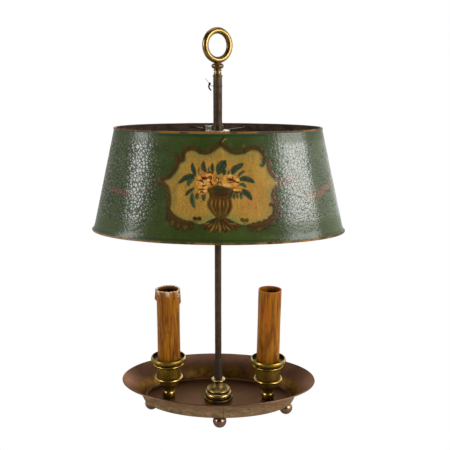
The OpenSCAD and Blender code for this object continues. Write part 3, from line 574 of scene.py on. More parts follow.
# Moulded and painted parts: two colours and roughness
MOULDED = {"holder_phenolic": ((42, 34, 28), (24, 20, 17), 0.35),
           "lead_sheath": ((46, 40, 36), (28, 25, 23), 0.55),
           "terminal_plastic": ((218, 210, 190), (188, 178, 152), 0.4),
           "cover_paint": ((78, 60, 46), (54, 42, 33), 0.4)}

MATERIALS = {
    "tray_patina": tray_patina(),
    "hub_brass": hub_metal(),
    "tag_wire_dark": tied_wire(),
    "candle_left": candle_wax("candle_left", 0.9),
    "candle_right": candle_wax("candle_right", 0.55, patch=(206, 96, 34)),
    "shade_green": shade_varnish(),
    "gilt_edge": gilt_edge(),
}
for name, (*colours, finish) in TURNED.items():
    MATERIALS[name] = turned_metal(name, *colours, **finish)
for name, colours in PLAIN.items():
    MATERIALS[name] = plain_metal(name, *colours)
for name, look in MOULDED.items():
    MATERIALS[name] = moulded(name, *look)


# ---- base: dish, feet, pedestal, stem ----

def tray_section():
    """The dish's sheet from the floor's edge below, over the rim, to the floor's edge above:
    distance out of the floor's edge, height and side of the sheet."""
    wall_steps, rim_out = 14, 0.3

    def flare(z):
        return (TRAY_RIM[0] - TRAY_FLOOR[0]) * (z / TRAY_WALL) ** 2

    foot_out = flare(TRAY_BEND)
    outer = bent((-TRAY_BEND, 0), (-foot_out, 0), (foot_out, TRAY_BEND), 8)
    for i in range(1, wall_steps + 1):
        z = TRAY_BEND + (TRAY_WALL - TRAY_BEND) * i / wall_steps
        outer.append((flare(z), z))
    line = np.array(outer)
    course = np.gradient(line, axis=0)
    course[0] = (1, 0)
    course /= np.linalg.norm(course, axis=1, keepdims=True)
    inner = [tuple(p) for p in line + TRAY_SHEET * np.stack([-course[:, 1], course[:, 0]], 1)]
    middle = (line[-1] + inner[-1]) / 2
    rim = bent(outer[-1], tuple(middle + rim_out * course[-1]), inner[-1], 4)
    return ([(*p, "out") for p in outer[:-1]] + [(*p, "rim") for p in rim]
            + [(*p, "in") for p in reversed(inner[:-1])])


def tray_rings():
    """The dish's oval rings, from its middle below, over the rim, to its middle above: half
    sizes, height, side of the sheet and share of the wall's height."""
    flat_rings = 16
    narrow = (TRAY_RIM[1] - TRAY_FLOOR[1]) / (TRAY_RIM[0] - TRAY_FLOOR[0])
    shares = [i / flat_rings for i in range(1, flat_rings)]
    rings = [(TRAY_FLOOR[0] * q, TRAY_FLOOR[1] * q, 0.0, "out", 0.0) for q in shares]
    for out, z, side in tray_section():
        half_b = TRAY_FLOOR[1] + out * (1 if out < 0 else narrow)
        rings.append((TRAY_FLOOR[0] + out, half_b, z, side, z / TRAY_WALL))
    return rings + [(TRAY_FLOOR[0] * q, TRAY_FLOOR[1] * q, TRAY_SHEET, "in", 0.0)
                    for q in reversed(shares)]


def tray():
    """The oval dish as one sheet, slightly dented."""
    columns = 240
    fold_out, fold_in_reach, fold_out_reach = 2, 3, 5
    wall_start, wall_run = -2, 6
    large_dent, small_dent = 23, 9
    rings, turns = tray_rings(), spun([(1, 0)], columns)
    points, fields = [], {"outside": [], "fold": [], "rim": [], "wall": []}
    for half_a, half_b, z, side, rise in rings:
        out = half_a - TRAY_FLOOR[0]
        reach = fold_out_reach if out > 0 else fold_in_reach
        values = {"outside": side == "out", "rim": side == "rim",
                  "fold": (side == "in") * math.exp(-((out - fold_out) / reach) ** 2),
                  "wall": min(1.0, max(0.0, (out - wall_start) / wall_run))}
        for field, value in values.items():
            fields[field] += [float(value)] * columns
        for east, north, _ in turns:
            x, y = half_a * east, half_b * north
            dent = 0.45 * noise.noise(Vector((x / large_dent, y / large_dent, 4.1)))
            dent += 0.16 * noise.noise(Vector((x / small_dent, y / small_dent, 1.7)))
            push = 1 + 0.006 * dent * min(1, rise * 2)
            sag = 0.14 * dent * (1 - min(1, rise * 3)) * (side != "rim")
            points.append((x * push, y * push, TRAY_UNDER + z + sag))
    faces = grid_faces(len(rings), columns)
    for ring, z in ((0, 0.0), (len(rings) - 1, TRAY_SHEET)):
        centre = len(points)
        points.append((0, 0, TRAY_UNDER + z))
        for field in fields:
            fields[field].append(float(field == "outside" and ring == 0))
        for c in range(columns):
            pair = (ring * columns + c, ring * columns + (c + 1) % columns)
            faces.append((centre, pair[1], pair[0]) if ring == 0 else (centre, *pair))
    make_piece("dish", points, faces, "tray_patina", ["tray"], sharp=60, fields=fields)


def foot(side):
    """A ball foot with a worn flat and a short neck that widens under the dish."""
    low, high = node_mm("foot_" + side)
    radius = (high.x - low.x) / 2
    flat, neck, steps = 2.5, 3.5, 24
    ball = math.sqrt(radius ** 2 - flat ** 2)
    start, end = math.asin(-ball / radius), math.acos(neck / radius)
    profile = [(0, 0)]
    for i in range(steps + 1):
        a = start + (end - start) * i / steps
        profile.append((radius * math.cos(a), ball + radius * math.sin(a)))
    profile += [(neck + 0.3, high.z - 0.8), (neck + 0.9, high.z), (0, high.z)]
    centre = ((low.x + high.x) / 2, (low.y + high.y) / 2, 0)
    lathe("ball_foot_" + side, profile, centre, "foot_metal", "foot_" + side, columns=64,
          wobble=0.12)


def pedestal():
    """The turned socket on the dish's floor: flange, bulge, step, neck and top ring."""
    low, high = node_mm("pedestal")
    top, flange = high.z - low.z, half_sizes("pedestal")[0]
    flange_t, bevel, groove, ring_t = 2.0, 1.6, 0.4, 2.4
    bulge, bulge_out, bulge_z = 12.7, 3.0, 8.6
    step, step_out, step_z = 12.1, 1.2, 11.9
    neck, neck_z, ring_out = 6.9, 13.6, 1.2
    profile = [(ROD_BORE, 0), (flange, 0), (flange, bevel), (flange - bevel, flange_t)]
    profile += half_round(bulge, bulge_out, flange_t, bulge_z)
    profile += half_round(step, step_out, bulge_z + groove, step_z, 10)
    profile += bent((step - 0.1, step_z + 0.1), (neck, neck_z), (neck, top - ring_t))
    profile += half_round(neck + 0.05, ring_out, top - ring_t, top, 8)
    profile += [(ROD_BORE, top)]

    def rub(r, z):
        return 0.3 if z < flange_t + 0.1 else 1.4 if z < bulge_z + 0.2 else 0.9

    lathe("turned_pedestal", eased(profile, 0.35), (0, 0, low.z), "turned_brass", "pedestal",
          look="dull_brass", columns=128, wobble=0.05, rub=rub)


def stem():
    """The two tubes and the tapered ferrule, each slightly uneven."""
    low, high = node_mm("stem_ferrule")
    radius = half_sizes("stem_ferrule")[0]
    lower_bore, upper_bore = 2.7, 3.75
    bend_r, bend_z, narrow, bevel = 4.6, 6, 4.4, 0.8
    taper = [(ROD_BORE, low.z), (radius, low.z)]
    taper += bent((radius, low.z), (bend_r, low.z + bend_z), (narrow, high.z - bevel), 10)
    taper += [(narrow - 0.1, high.z), (upper_bore, high.z)]
    lathe("tapered_ferrule", eased(taper, 0.4), (0, 0, 0), "dark_bronze", "stem_ferrule",
          wobble=0.06)
    for node, bore, steps in (("lower_tube", lower_bore, 60), ("upper_tube", upper_bore, 40)):
        low, high = node_mm(node)
        radius = half_sizes(node)[0]
        profile = [(bore, low.z)]
        profile += [(radius, low.z + (high.z - low.z) * i / steps) for i in range(steps + 1)]
        profile += [(bore, high.z)]
        lathe("stem_" + node, eased(profile, 0.3), (0, 0, 0), "dark_bronze", node, wobble=0.09)


def collar():
    """The turned collar on the stem's top."""
    low, high = node_mm("finial_collar")
    foot_z, top = low.z + FIN_SPIGOT, high.z - low.z - FIN_SPIGOT
    bore, flange, waist, head = 2.1, 4.6, 3.9, 4.2
    flange_out, bead_out, head_out = 0.9, 0.6, 2.4
    flange_z, neck_z, bead_z, bead_top, head_z = 2.0, 3.6, 6.0, 7.5, 8.5
    profile = [(bore, 0), (flange, 0)]
    profile += half_round(flange - 0.05, flange_out, 0, flange_z, 10)
    profile += bent((flange - 0.1, flange_z), (waist, neck_z), (waist, bead_z))
    profile += half_round(waist, bead_out, bead_z, bead_top, 10)
    profile += [(waist - 0.1, bead_top + 0.3), (waist, head_z - 0.1)]
    profile += half_round(head, head_out, head_z, top)
    profile += [(bore, top)]
    lathe("turned_collar", eased(profile, 0.25), (0, 0, foot_z), "polished_brass",
          "finial_collar", wobble=0.04)


def carrying_ring():
    """The ring and the saddle that joins it to the collar."""
    collar_top, ring_top = node_mm("finial_collar")[1].z, node_mm("ring_handle")[1].z
    radius, wire = (ring_top - collar_top) / 2, RING_WIRE / 2
    columns, sides, saddle_columns = 120, 28, 48
    points, ridge = [], []
    for a in circle(columns):
        for b in circle(sides):
            swell = 0.06 * noise.noise(Vector((math.cos(a) * 2, math.sin(a) * 2, b)))
            out = radius - wire + (wire + swell) * math.cos(b)
            deep = (wire + swell) * math.sin(b)
            points.append((out * math.cos(a) * math.cos(RING_TURN) - deep * math.sin(RING_TURN),
                           out * math.cos(a) * math.sin(RING_TURN) + deep * math.cos(RING_TURN),
                           ring_top - radius + out * math.sin(a)))
            ridge.append(0.62 - 0.22 * max(0.0, -math.cos(b)) ** 2)
    ring = (points, grid_faces(columns, sides, close_rows=True))
    sunk, saddle_r, saddle_t, waist, saddle_top = 0.4, 3.9, 0.4, 2.2, 2.6
    outline = [(0, -sunk), (saddle_r, -sunk), (saddle_r - 0.2, saddle_t)]
    outline += bent((saddle_r - 0.5, saddle_t + 0.1), (waist, 1.0), (waist + 0.1, saddle_top), 6)
    outline += [(0, saddle_top)]
    spots = spun([(r, collar_top + z) for r, z in outline], saddle_columns)
    saddle = (spots, grid_faces(len(outline), saddle_columns, close_rows=True))
    ridge += [0.25] * len(spots)
    points, faces = joined([ring, saddle])
    make_piece("carrying_ring", points, faces, "polished_brass", ["ring_handle"],
               fields={"ridge": ridge})


def tag_wire():
    """The leftover twist of wire round the top of the stem: a thin loop with its lead and end,
    and two thicker strands twisted together."""
    loop_z, loop_r, thin, thick = node_mm("upper_tube")[1].z - 9.5, 5.1, 0.3, 0.46
    knot = Vector((-8.4, -1.5, loop_z + 2))
    loop = [(loop_r * math.cos(a), loop_r * math.sin(a), loop_z + 0.3 * math.sin(a))
            for a in circle(48) + [2 * math.pi]]
    lead = [Vector((-loop_r, 0, loop_z)), Vector((-6.9, -0.9, loop_z + 0.5)), knot]
    tail = [knot + Vector(p) for p in ((0, 0, 0), (-1.7, -0.4, 2.6), (-2.6, -0.4, 3.9),
                                       (-4.6, -0.6, 6))]
    parts = [sweep(loop, lambda t: thin), sweep(lead, lambda t: thin * 0.85),
             sweep(tail, lambda t: thin * (0.85 - 0.25 * t))]
    bends = [Vector(p) for p in ((0.2, 0.1, 1.4), (0, 0, 0), (-0.9, -0.3, -2.2),
                                 (-0.2, -0.5, -4.6), (1.3, -0.4, -6.4))]
    turns, steps = 5, 90
    for strand in (0, 1):
        path = []
        for i in range(steps + 1):
            t = i / steps * (len(bends) - 1)
            j = min(int(t), len(bends) - 2)
            spot = bends[j].lerp(bends[j + 1], t - j)
            a = 2 * math.pi * turns * i / steps + math.pi * strand
            wide = 0.5 + 0.35 * math.exp(-((i / steps - 0.2) / 0.12) ** 2)
            path.append(knot + spot + Vector((math.cos(a), math.sin(a), 0)) * wide)
        parts.append(sweep(path, lambda t: thick, 8))
    points, faces = joined(parts)
    make_piece("twisted_wire", points, faces, "tag_wire_dark", ["tag_wire"])


# ---- candles ----

def cup(side):
    """A turned candle cup: knob, bowl, belt, body, band and flared lip with its dish."""
    low, high = node_mm(side + "_cup")
    top = high.z - low.z
    # Radii, from the foot up, and how far the mouldings stand out
    bore, knob, bowl_foot, bowl, body, throat = 5.05, 5.7, 7.0, 11.2, 13.8, 14.6
    inner, lip = 18.2, 19.0
    knob_out, belt_out, band_out, lip_out = 1.6, 2.5, 3.8, 1.2
    # Heights, and the groove between two mouldings
    knob_z, bowl_z, bowl_bend, socket_z, dish_z = 8.0, 11.0, 12.5, 24.0, top - 3.8
    belt_z, belt_top, waist_z, band_z, band_top, lip_z = 22.4, 25.8, 33.0, 39.4, 42.6, 44.1
    groove = 0.4
    profile = [(bore, 0), (knob - 0.1, 0)]
    profile += half_round(knob, knob_out, 0, knob_z)
    profile += [(knob, knob_z + groove)]
    profile += bent((bowl_foot, bowl_z), (bowl, bowl_bend), (bowl, belt_z - groove))
    profile += [(body - 0.4, belt_z)]
    profile += half_round(body, belt_out, belt_z, belt_top)
    profile += bent((body, belt_top + groove), (body - 0.2, waist_z), (body, band_z - groove))
    profile += half_round(body, band_out, band_z, band_top, 12)
    profile += [(body + 0.3, band_top + groove)]
    profile += bent((body + 0.4, band_top + 0.6), (throat, lip_z - 0.2), (lip - 0.4, lip_z - 0.1))
    profile += half_round(lip, lip_out, lip_z, top)
    profile += [(inner, top), (inner, dish_z), (bowl, dish_z), (bowl, socket_z), (bore, socket_z)]

    # Inside the dish the ridges count as fully dull and take the darkest colour, a painted shade in
    # the hollow round the sleeve. The lip and band are rubbed less than the body.
    def rub(r, z):
        if z > dish_z - 1 and r < inner + 0.4:
            return 0.0
        return 0.62 if z > band_top + 0.4 else 0.8 if z > band_z - 0.4 else 1.1

    lathe(side + "_turned_cup", eased(profile, 0.3), (CUP_X[side], 0, low.z), "turned_brass",
          side + "_cup", columns=128, wobble=0.05, rub=rub)


def off(angle, at):
    """Degrees from a place round the sleeve, which is in degrees, to an angle in radians."""
    return (math.degrees(angle) - at + 180) % 360 - 180


def drip_out(angle, below):
    """How far the left sleeve's wax stands out, at an angle and a depth below the rim."""
    narrow, widening, tip_length = 6.5, 2.5, 2.2
    out = 0.0
    for at, length, bulge in DRIPS:
        wide = narrow + widening * min(1, below / length)
        across = math.exp(-(abs(off(angle, at)) / wide) ** 2.6)
        if below < length:
            run = 0.55 + 0.45 * min(1, below / length) ** 1.5
            tip = min(1, (length - below) / tip_length) ** 0.5
            out = max(out, bulge * across * run * tip)
    ring = 0.5 * max(0.0, 1 - below / (3.4 + 1.5 * math.sin(3 * angle + 1)))
    return max(out, ring)


def right_wear(angle, z):
    """The right sleeve's worn patch and its crack at an angle and a height."""
    patch_at, patch_wide, patch_z, patch_high = 252, 13, 55, 17
    crack_at, crack_wide, crack_z, crack_high = 310, 3, 10, 8
    turn = math.degrees(angle)
    patch = math.exp(-((turn - patch_at) / patch_wide) ** 2 - ((z - patch_z) / patch_high) ** 2)
    rim = 0.7 * math.exp(-((SLEEVE_LENGTH - z) / 1.5) ** 2)
    bend = crack_at + 3 * math.sin(z / 2.5)
    crack = math.exp(-((turn - bend) / crack_wide) ** 4 - ((z - crack_z) / crack_high) ** 4)
    return patch + rim, 0.9 * crack


def flakes(angle, below):
    """How far the wax is flaked white at an angle and a depth below the rim."""
    wear = 0.9 * math.exp(-(below / 0.9) ** 2)
    for at, wide, deep in FLAKES:
        wear += math.exp(-(off(angle, at) / wide) ** 2) * math.exp(-(below / deep) ** 2)
    return wear


def sleeve(side):
    """A candle sleeve, open at both ends: uneven outside, rounded at its rim and plain inside,
    where it is painted darker with depth, a painted shade. Wax has run down the left one. The
    right one has a worn patch and a crack."""
    left = side == "left"
    columns, rows = 160, 110
    # The last value is the depth over which the inside turns fully dark, a painted shade
    skin, melted, inner_shade_depth = 0.1, 12, 4 if left else 10
    rim_steps = ((0.8, -0.25), (0.35, -0.3), (0.0, 0.1))
    depths = (0.8, 2.5, 5, 8, 12, 20, 40, 62, SLEEVE_LENGTH)
    inner_r = SLEEVE_R - SLEEVE_WALL
    points, worn, hollow = [], [], []
    lean = 0 if left else RIGHT_LEAN
    foot_x = CUP_X[side] + SLEEVE_SHIFT[side]
    foot_z = SLEEVE_FOOT + SLEEVE_R * math.sin(lean)

    def place(r, a, z, wear, dark):
        x, y = r * math.cos(a), r * math.sin(a)
        if left and z > SLEEVE_LENGTH - melted:
            drop = 0.7 + 0.5 * noise.noise(Vector((2 * math.cos(a), 2 * math.sin(a), 7.3)))
            z -= drop * (1 - (SLEEVE_LENGTH - z) / melted)
        points.append((foot_x + x * math.cos(lean) + z * math.sin(lean), y,
                       foot_z + z * math.cos(lean) - x * math.sin(lean)))
        worn.append(wear)
        hollow.append(dark)

    for row in range(rows + 1):
        z = SLEEVE_LENGTH * (row / rows) ** 0.85
        below = SLEEVE_LENGTH - z
        for a in circle(columns):
            rough = 0.16 * noise.noise(Vector((2.2 * math.cos(a), 2.2 * math.sin(a), z / 30)))
            r = SLEEVE_R - skin + min(rough, skin)
            if left:
                r += drip_out(a, below)
                wear, dark = flakes(a, below), 0.0
            else:
                wear, dark = right_wear(a, z)
            place(r, a, z, min(1.0, wear), dark)
    for share, drop in rim_steps:
        for a in circle(columns):
            swell = drip_out(a, 0) if left else 0
            place(inner_r + (SLEEVE_WALL - skin + swell) * share, a,
                  SLEEVE_LENGTH - drop - 0.3, 1.0 if left else 0.7, 0.0)
    # The inner face, painted darker with depth: a painted shade
    for depth in depths:
        for a in circle(columns):
            place(inner_r, a, SLEEVE_LENGTH - depth, 0, min(1, depth / inner_shade_depth))
    total = rows + 1 + len(rim_steps) + len(depths)
    make_piece(side + "_candle_sleeve", points, grid_faces(total, columns, close_rows=True),
               "candle_amber", [side + "_sleeve"], body=side + "_candle", look="candle_" + side,
               sharp=70, fields={"worn": worn, "hollow": hollow})


# ---- shade ----

def shade_half(v, inset=0.0):
    """Half sizes of the shade at a height above its lower edge."""
    v = np.asarray(v, dtype=float)
    share = v / SHADE_HEIGHT
    curl = LIP_OUT * np.maximum(0, 1 - v / LIP_HEIGHT) ** 2
    return [low + share * (high - low) + curl - inset for low, high in zip(SHADE_BOTTOM, SHADE_TOP)]


def shade_lengths(steps=4000):
    """Angles round the shade from the middle of its back, and how far each lies along the shade
    from the middle of its front."""
    angles = np.linspace(-1.5 * math.pi, 0.5 * math.pi, steps + 1)
    half_a, half_b = shade_half(SHADE_HEIGHT / 2)
    step = np.hypot(half_a * np.sin(angles), half_b * np.cos(angles)) * (angles[1] - angles[0])
    lengths = np.cumsum(step) - step[0]
    return angles, lengths - lengths[-1] / 2


ANGLES, LENGTHS = shade_lengths()
PERIMETER = LENGTHS[-1] - LENGTHS[0]


def shade_points(u, v, inset=0.0):
    """Places on the shade at u along it from the middle of its front, and v up its side."""
    turn = np.interp((u + PERIMETER / 2) % PERIMETER - PERIMETER / 2, LENGTHS, ANGLES)
    half_a, half_b = shade_half(v, inset)
    return np.stack([half_a * np.cos(turn), half_b * np.sin(turn), SHADE_FOOT + v], -1)


def shade_shell():
    """The painted sheet: outer and inner face, meeting inside the two beads."""
    columns, rows = 360, 48
    u = np.arange(columns) / columns * PERIMETER
    tuck = BEAD_R * 0.4
    heights = tuck + (SHADE_HEIGHT - 2 * tuck) * np.linspace(0, 1, rows) ** 1.25
    outer = [shade_points(u, np.full(columns, v)) for v in heights]
    inner = [shade_points(u, np.full(columns, v), SHADE_SHEET) for v in heights[::-1]]
    points = np.concatenate(outer + inner)
    inside = np.repeat([0.0, 1.0], columns * rows)
    make_piece("painted_shell", points.tolist(), grid_faces(2 * rows, columns, close_rows=True),
               "shade_green", ["shade_shell"], body="shade",
               fields={"inside": inside, "paint": np.zeros((len(points), 4))})


def edge_bead(name, v, node):
    """The wired edge of the shade."""
    columns, sides = 300, 14
    u = np.arange(columns) / columns * PERIMETER
    middle = shade_points(u, np.full(columns, v), SHADE_SHEET / 2)
    out = middle[:, :2] / np.linalg.norm(middle[:, :2], axis=1, keepdims=True)
    radius = BEAD_R * (0.95 + 0.05 * np.sin(u / 7) * np.sin(u / 31))
    rows = []
    for a in circle(sides):
        ring = middle.copy()
        ring[:, :2] += out * (radius * math.cos(a))[:, None]
        ring[:, 2] += radius * math.sin(a)
        rows.append(ring)
    make_piece(name, np.concatenate(rows).tolist(), grid_faces(sides, columns, close_rows=True),
               "gilt_edge", [node], body="shade")


# ---- the painted ornament ----

def curve(points, steps=8):
    """A smooth curve through given points."""
    p = np.array([points[0], *points, points[-1]], dtype=float)
    result = []
    for i in range(1, len(p) - 2):
        for t in np.linspace(0, 1, steps, endpoint=False):
            result.append(0.5 * (2 * p[i] + (p[i + 1] - p[i - 1]) * t
                                 + (2 * p[i - 1] - 5 * p[i] + 4 * p[i + 1] - p[i + 2]) * t ** 2
                                 + (3 * p[i] - p[i - 1] - 3 * p[i + 1] + p[i + 2]) * t ** 3))
    return np.array(result + [p[-2]])


class Canvas:
    """A stretch of the shade's face, painted by brush strokes. u runs along the shade from the
    painting's middle and v up from the shade's lower edge."""

    def __init__(self, low, high, seed):
        self.low = np.array(low, dtype=float)
        self.u, self.v = np.meshgrid(np.arange(low[0], high[0], PAINT_STEP),
                                     np.arange(low[1], high[1], PAINT_STEP))
        self.dice = np.random.default_rng(seed)
        self.colour = np.zeros(self.u.shape + (3,))
        self.cover = np.zeros(self.u.shape)
        self.hand_u = self.u + self.drift()
        self.hand_v = self.v + self.drift()
        self.grain = 0.9 + 0.1 * self.random(0.9, 0.9)
        self.worn = 0.6 * self.random(4, 4) + 0.4 * self.random(1.4, 1.4)

    def random(self, size_u, size_v):
        """Smooth random values from -1 to 1."""
        x = (self.u - self.u.min()) / size_u
        y = (self.v - self.v.min()) / size_v
        i, j = x.astype(int), y.astype(int)
        spots = self.dice.uniform(-1, 1, (j.max() + 2, i.max() + 2))
        x, y = x - i, y - j
        x, y = x * x * (3 - 2 * x), y * y * (3 - 2 * y)
        low = spots[j, i] * (1 - x) + spots[j, i + 1] * x
        high = spots[j + 1, i] * (1 - x) + spots[j + 1, i + 1] * x
        return low * (1 - y) + high * y

    def drift(self):
        """How far the hand strays, slowly and with a small tremble."""
        return 0.45 * self.random(7, 7) + 0.16 * self.random(1.5, 1.5)

    def around(self, path, margin):
        """The stretch of the canvas that lies within a margin of a path."""
        start = (path.min(0) - margin - self.low) / PAINT_STEP
        end = (path.max(0) + margin - self.low) / PAINT_STEP
        (left, down), (right, up) = start.astype(int).clip(0), end.astype(int).clip(0) + 2
        return slice(down, up), slice(left, right)

    def lay(self, amount, colour, part=...):
        """Lays paint over what is there."""
        amount = np.clip(amount, 0, 1)
        under = self.cover[part] * (1 - amount)
        total = np.maximum(amount + under, 1e-6)[..., None]
        fresh = np.asarray(colour, dtype=float) * amount[..., None]
        self.colour[part] = (fresh + self.colour[part] * under[..., None]) / total
        self.cover[part] = amount + under

    def near(self, path, part=...):
        """Distance of each place from a path, and how far along the path that is."""
        u, v = self.hand_u[part], self.hand_v[part]
        best, share = np.full(u.shape, 1e9), np.zeros(u.shape)
        count = len(path) - 1
        for k in range(count):
            start, run = path[k], path[k + 1] - path[k]
            size = max(run @ run, 1e-9)
            du, dv = u - start[0], v - start[1]
            t = np.clip((du * run[0] + dv * run[1]) / size, 0, 1)
            gap = np.hypot(du - t * run[0], dv - t * run[1])
            closer = gap < best
            best = np.where(closer, gap, best)
            share = np.where(closer, (k + t) / count, share)
        return best, share

    def stroke(self, points, width, colour, taper=0.5, amount=1.0, soft=0.45, blunt=0.7,
               broken=0.0):
        """A brush stroke; taper 0 keeps its width, 1 thins it to nothing at both ends. A lower
        blunt rounds the ends, and broken lets what is below show through in places."""
        path = curve(points)
        part = self.around(path, width / 2 + soft + 1)
        gap, share = self.near(path, part)
        swell = np.sin(np.pi * np.clip(share, 0.02, 0.98)) ** blunt
        half = width / 2 * (1 - taper + taper * swell)
        amount = amount * self.grain[part] * np.clip(1 - broken * (1 + 2 * self.worn[part]), 0, 1)
        self.lay(((half - gap) / soft + 0.5).clip(0, 1) * amount, colour, part)

    def blob(self, middle, half_u, half_v, colour, turn=0.0, soft=0.5, amount=1.0):
        """An oval dab of paint."""
        part = self.around(np.array([middle], dtype=float), max(half_u, half_v) + soft + 1)
        a = math.radians(turn)
        du, dv = self.hand_u[part] - middle[0], self.hand_v[part] - middle[1]
        x = du * math.cos(a) + dv * math.sin(a)
        y = dv * math.cos(a) - du * math.sin(a)
        gap = (np.hypot(x / half_u, y / half_v) - 1) * min(half_u, half_v)
        self.lay((0.5 - gap / soft).clip(0, 1) * amount, colour, part)

    def area(self, outline, soft=0.6):
        """Share of each place that lies inside a closed outline, and its distance from it."""
        gap, _ = self.near(np.vstack([outline, outline[:1]]))
        inside = np.zeros(self.u.shape, dtype=bool)
        for (x0, y0), (x1, y1) in zip(outline, np.roll(outline, -1, 0)):
            if y0 == y1:
                continue
            crosses = (y0 > self.hand_v) != (y1 > self.hand_v)
            at = x0 + (self.hand_v - y0) / (y1 - y0) * (x1 - x0)
            inside ^= crosses & (self.hand_u < at)
        return np.where(inside, 0.5 + gap / soft, 0.5 - gap / soft).clip(0, 1), gap

    def piece(self, name, middle):
        """The painted places as a thin skin on the shade, thicker where there is more paint.
        middle is where u is 0."""
        body, bare = 0.04, 0.01
        lift = -PAINT_LIFT - body * self.cover.ravel()
        points = shade_points(self.u.ravel() + middle, self.v.ravel(), lift)
        rows, columns = self.u.shape
        index = np.arange(rows * columns).reshape(rows, columns)
        corners = [index[:-1, :-1], index[:-1, 1:], index[1:, 1:], index[1:, :-1]]
        painted = self.cover.ravel() > bare
        used = np.any([painted[c] for c in corners], axis=0)
        quads = np.stack([c[used] for c in corners], -1)
        kept, quads = np.unique(quads, return_inverse=True)
        quads = quads.reshape(-1, 4)
        paint = np.concatenate([self.colour.reshape(-1, 3), self.cover.reshape(-1, 1)], 1)[kept]
        make_piece(name, points[kept].tolist(), quads.tolist(), "shade_green", body="shade",
                   fields={"paint": paint})


UMBER = srgb(71, 43, 12)
DARK_UMBER = srgb(45, 30, 10)
RUST = srgb(110, 60, 20)
GOLD = srgb(120, 86, 22)
OLIVE_GOLD = srgb(86, 68, 15)
PALE_GOLD = srgb(204, 152, 70)
SHADOW = srgb(36, 42, 14)
OCHRE = srgb(196, 152, 66)
OCHRE_DEEP = srgb(162, 120, 44)
EDGE_GREEN = srgb(130, 132, 66)
TEAL = srgb(13, 56, 42)
DARK_TEAL = srgb(8, 37, 30)
LEAF_GREEN = srgb(35, 71, 43)
PALE_GREEN = srgb(96, 124, 78)
PETAL = srgb(232, 158, 62)
PETAL_DEEP = srgb(196, 108, 38)
PETAL_LIGHT = srgb(244, 188, 104)
ROSE_DARK = srgb(46, 14, 10)
MOSS = srgb(62, 76, 30)
SPUR_GREEN = srgb(58, 72, 34)
GROUND_RUST = srgb(196, 124, 60)
URN_EDGE = srgb(60, 62, 24)
URN_BODY = srgb(112, 66, 20)
URN_DARK = srgb(56, 40, 14)
URN_HANDLE = srgb(52, 58, 22)
URN_BAND = srgb(70, 40, 12)
URN_BASE = srgb(84, 66, 22)
BUNCH_SHADOW = srgb(48, 50, 18)
ROSE_GROUND = srgb(140, 84, 26)
PETAL_EDGE = srgb(124, 62, 22)
ROSE_HEART = srgb(86, 26, 12)
RIBBON = srgb(128, 86, 52)
RIBBON_DARK = srgb(84, 54, 32)

# All places below are listed: u from the middle of the painting, v from the shade's
# lower edge. Scrolls of the frame: curve, width and main colour.
LEFT_SCROLLS = (
    (((0.6, 100.5), (-4.6, 96.8), (-11.4, 92.6), (-16.5, 91.2), (-22.6, 92)), 3.8, UMBER),
    (((-22.6, 92), (-30.6, 95.4), (-37.2, 94.2), (-40.4, 90), (-40.6, 84), (-45, 81.8)), 4.4,
     UMBER),
    (((-48.9, 88), (-46.4, 84.5), (-45.8, 78.6), (-48.3, 73), (-53, 67.2), (-60, 63.8),
     (-67, 61.2)), 3.8, UMBER),
    (((-67, 61), (-60.5, 60), (-55.8, 55), (-53.2, 48), (-52, 40), (-52.6, 34)), 4.2, OLIVE_GOLD),
    (((-52.8, 34.5), (-50, 30), (-46.4, 27), (-41, 23.4), (-35, 20.8), (-27, 20.6)), 4.4, UMBER),
)
RIGHT_SCROLLS = (
    (((0.6, 100.5), (3.4, 98.6), (6.6, 95.6), (13.3, 91.9), (20.1, 91.2), (26.2, 92.6)), 3.8,
     UMBER),
    (((26.2, 92.6), (33.3, 95.2), (40.2, 95.2), (45, 92), (47.8, 86), (46.6, 80.6)), 4.0, UMBER),
    (((51.6, 82), (51.5, 74), (55.2, 68), (61, 63.4), (70, 62.4), (78, 63.6)), 3.4, RUST),
    (((77, 60.6), (68, 61), (60.2, 58.3), (55.4, 53.8), (53, 49), (52.8, 44.6), (55.4, 41.4),
     (59.4, 41.6)), 3.4, RUST),
    (((53.6, 37.5), (54, 32.5), (52, 27.6), (47.5, 23.4), (41.5, 20), (34, 18), (27, 18.6)), 4.2,
     UMBER),
)
# Lobes outside the lower corners: base, tip and width. LOBE_BANDS are what they grow from.
LOBES = (
    ((-49, 29), (-50.5, 24), 4.4), ((-45.5, 25), (-46.6, 19), 4.8),
    ((-40.5, 21.5), (-40.6, 15.6), 4.8), ((-35, 20), (-33.6, 14.8), 4.6),
    ((-30, 19.8), (-28, 16), 3.6), ((53.2, 36), (57, 33.5), 4.0), ((52.4, 30), (56, 26), 4.8),
    ((48, 25), (50.4, 20), 4.8), ((42.5, 21.5), (43.4, 16), 4.8), ((36.5, 19.5), (36, 13.8), 5.0),
    ((31, 18.6), (28.8, 14.6), 4.0),
)
LOBE_BANDS = (
    ((-51, 31), (-48.5, 24.5), (-42, 19.6), (-34, 17.4), (-28, 18)),
    ((54.4, 35), (52, 27.5), (46, 21), (38, 16.8), (30, 16.6)),
)
# Spurs of the frame: curve, width, colour, taper and strength
SPURS = (
    (((45, 81), (43.6, 84), (41, 84.4)), 1.4, SHADOW, 0.6, 0.7),
    (((23.2, 94.6), (25.4, 97.4), (28, 96.2)), 1.6, GOLD, 0.7, 0.85),
    (((31.6, 91.6), (34.4, 92.8), (37, 91.2)), 1.3, GOLD, 0.7, 0.85),
    (((0.4, 99), (1.8, 104), (4.6, 106.4)), 2.0, DARK_UMBER, 0.6, 0.8),
    (((2.2, 101), (4.6, 103.4), (7.4, 104)), 1.2, PALE_GOLD, 0.7, 0.6),
    (((-66, 61), (-70, 65), (-70.6, 69)), 2.4, UMBER, 0.7, 0.8),
    (((-66, 61), (-72, 59.4), (-76.6, 56.6)), 2.2, UMBER, 0.7, 0.75),
    (((72, 62.4), (77.4, 61), (80, 56.4)), 2.6, RUST, 0.5, 0.8),
)
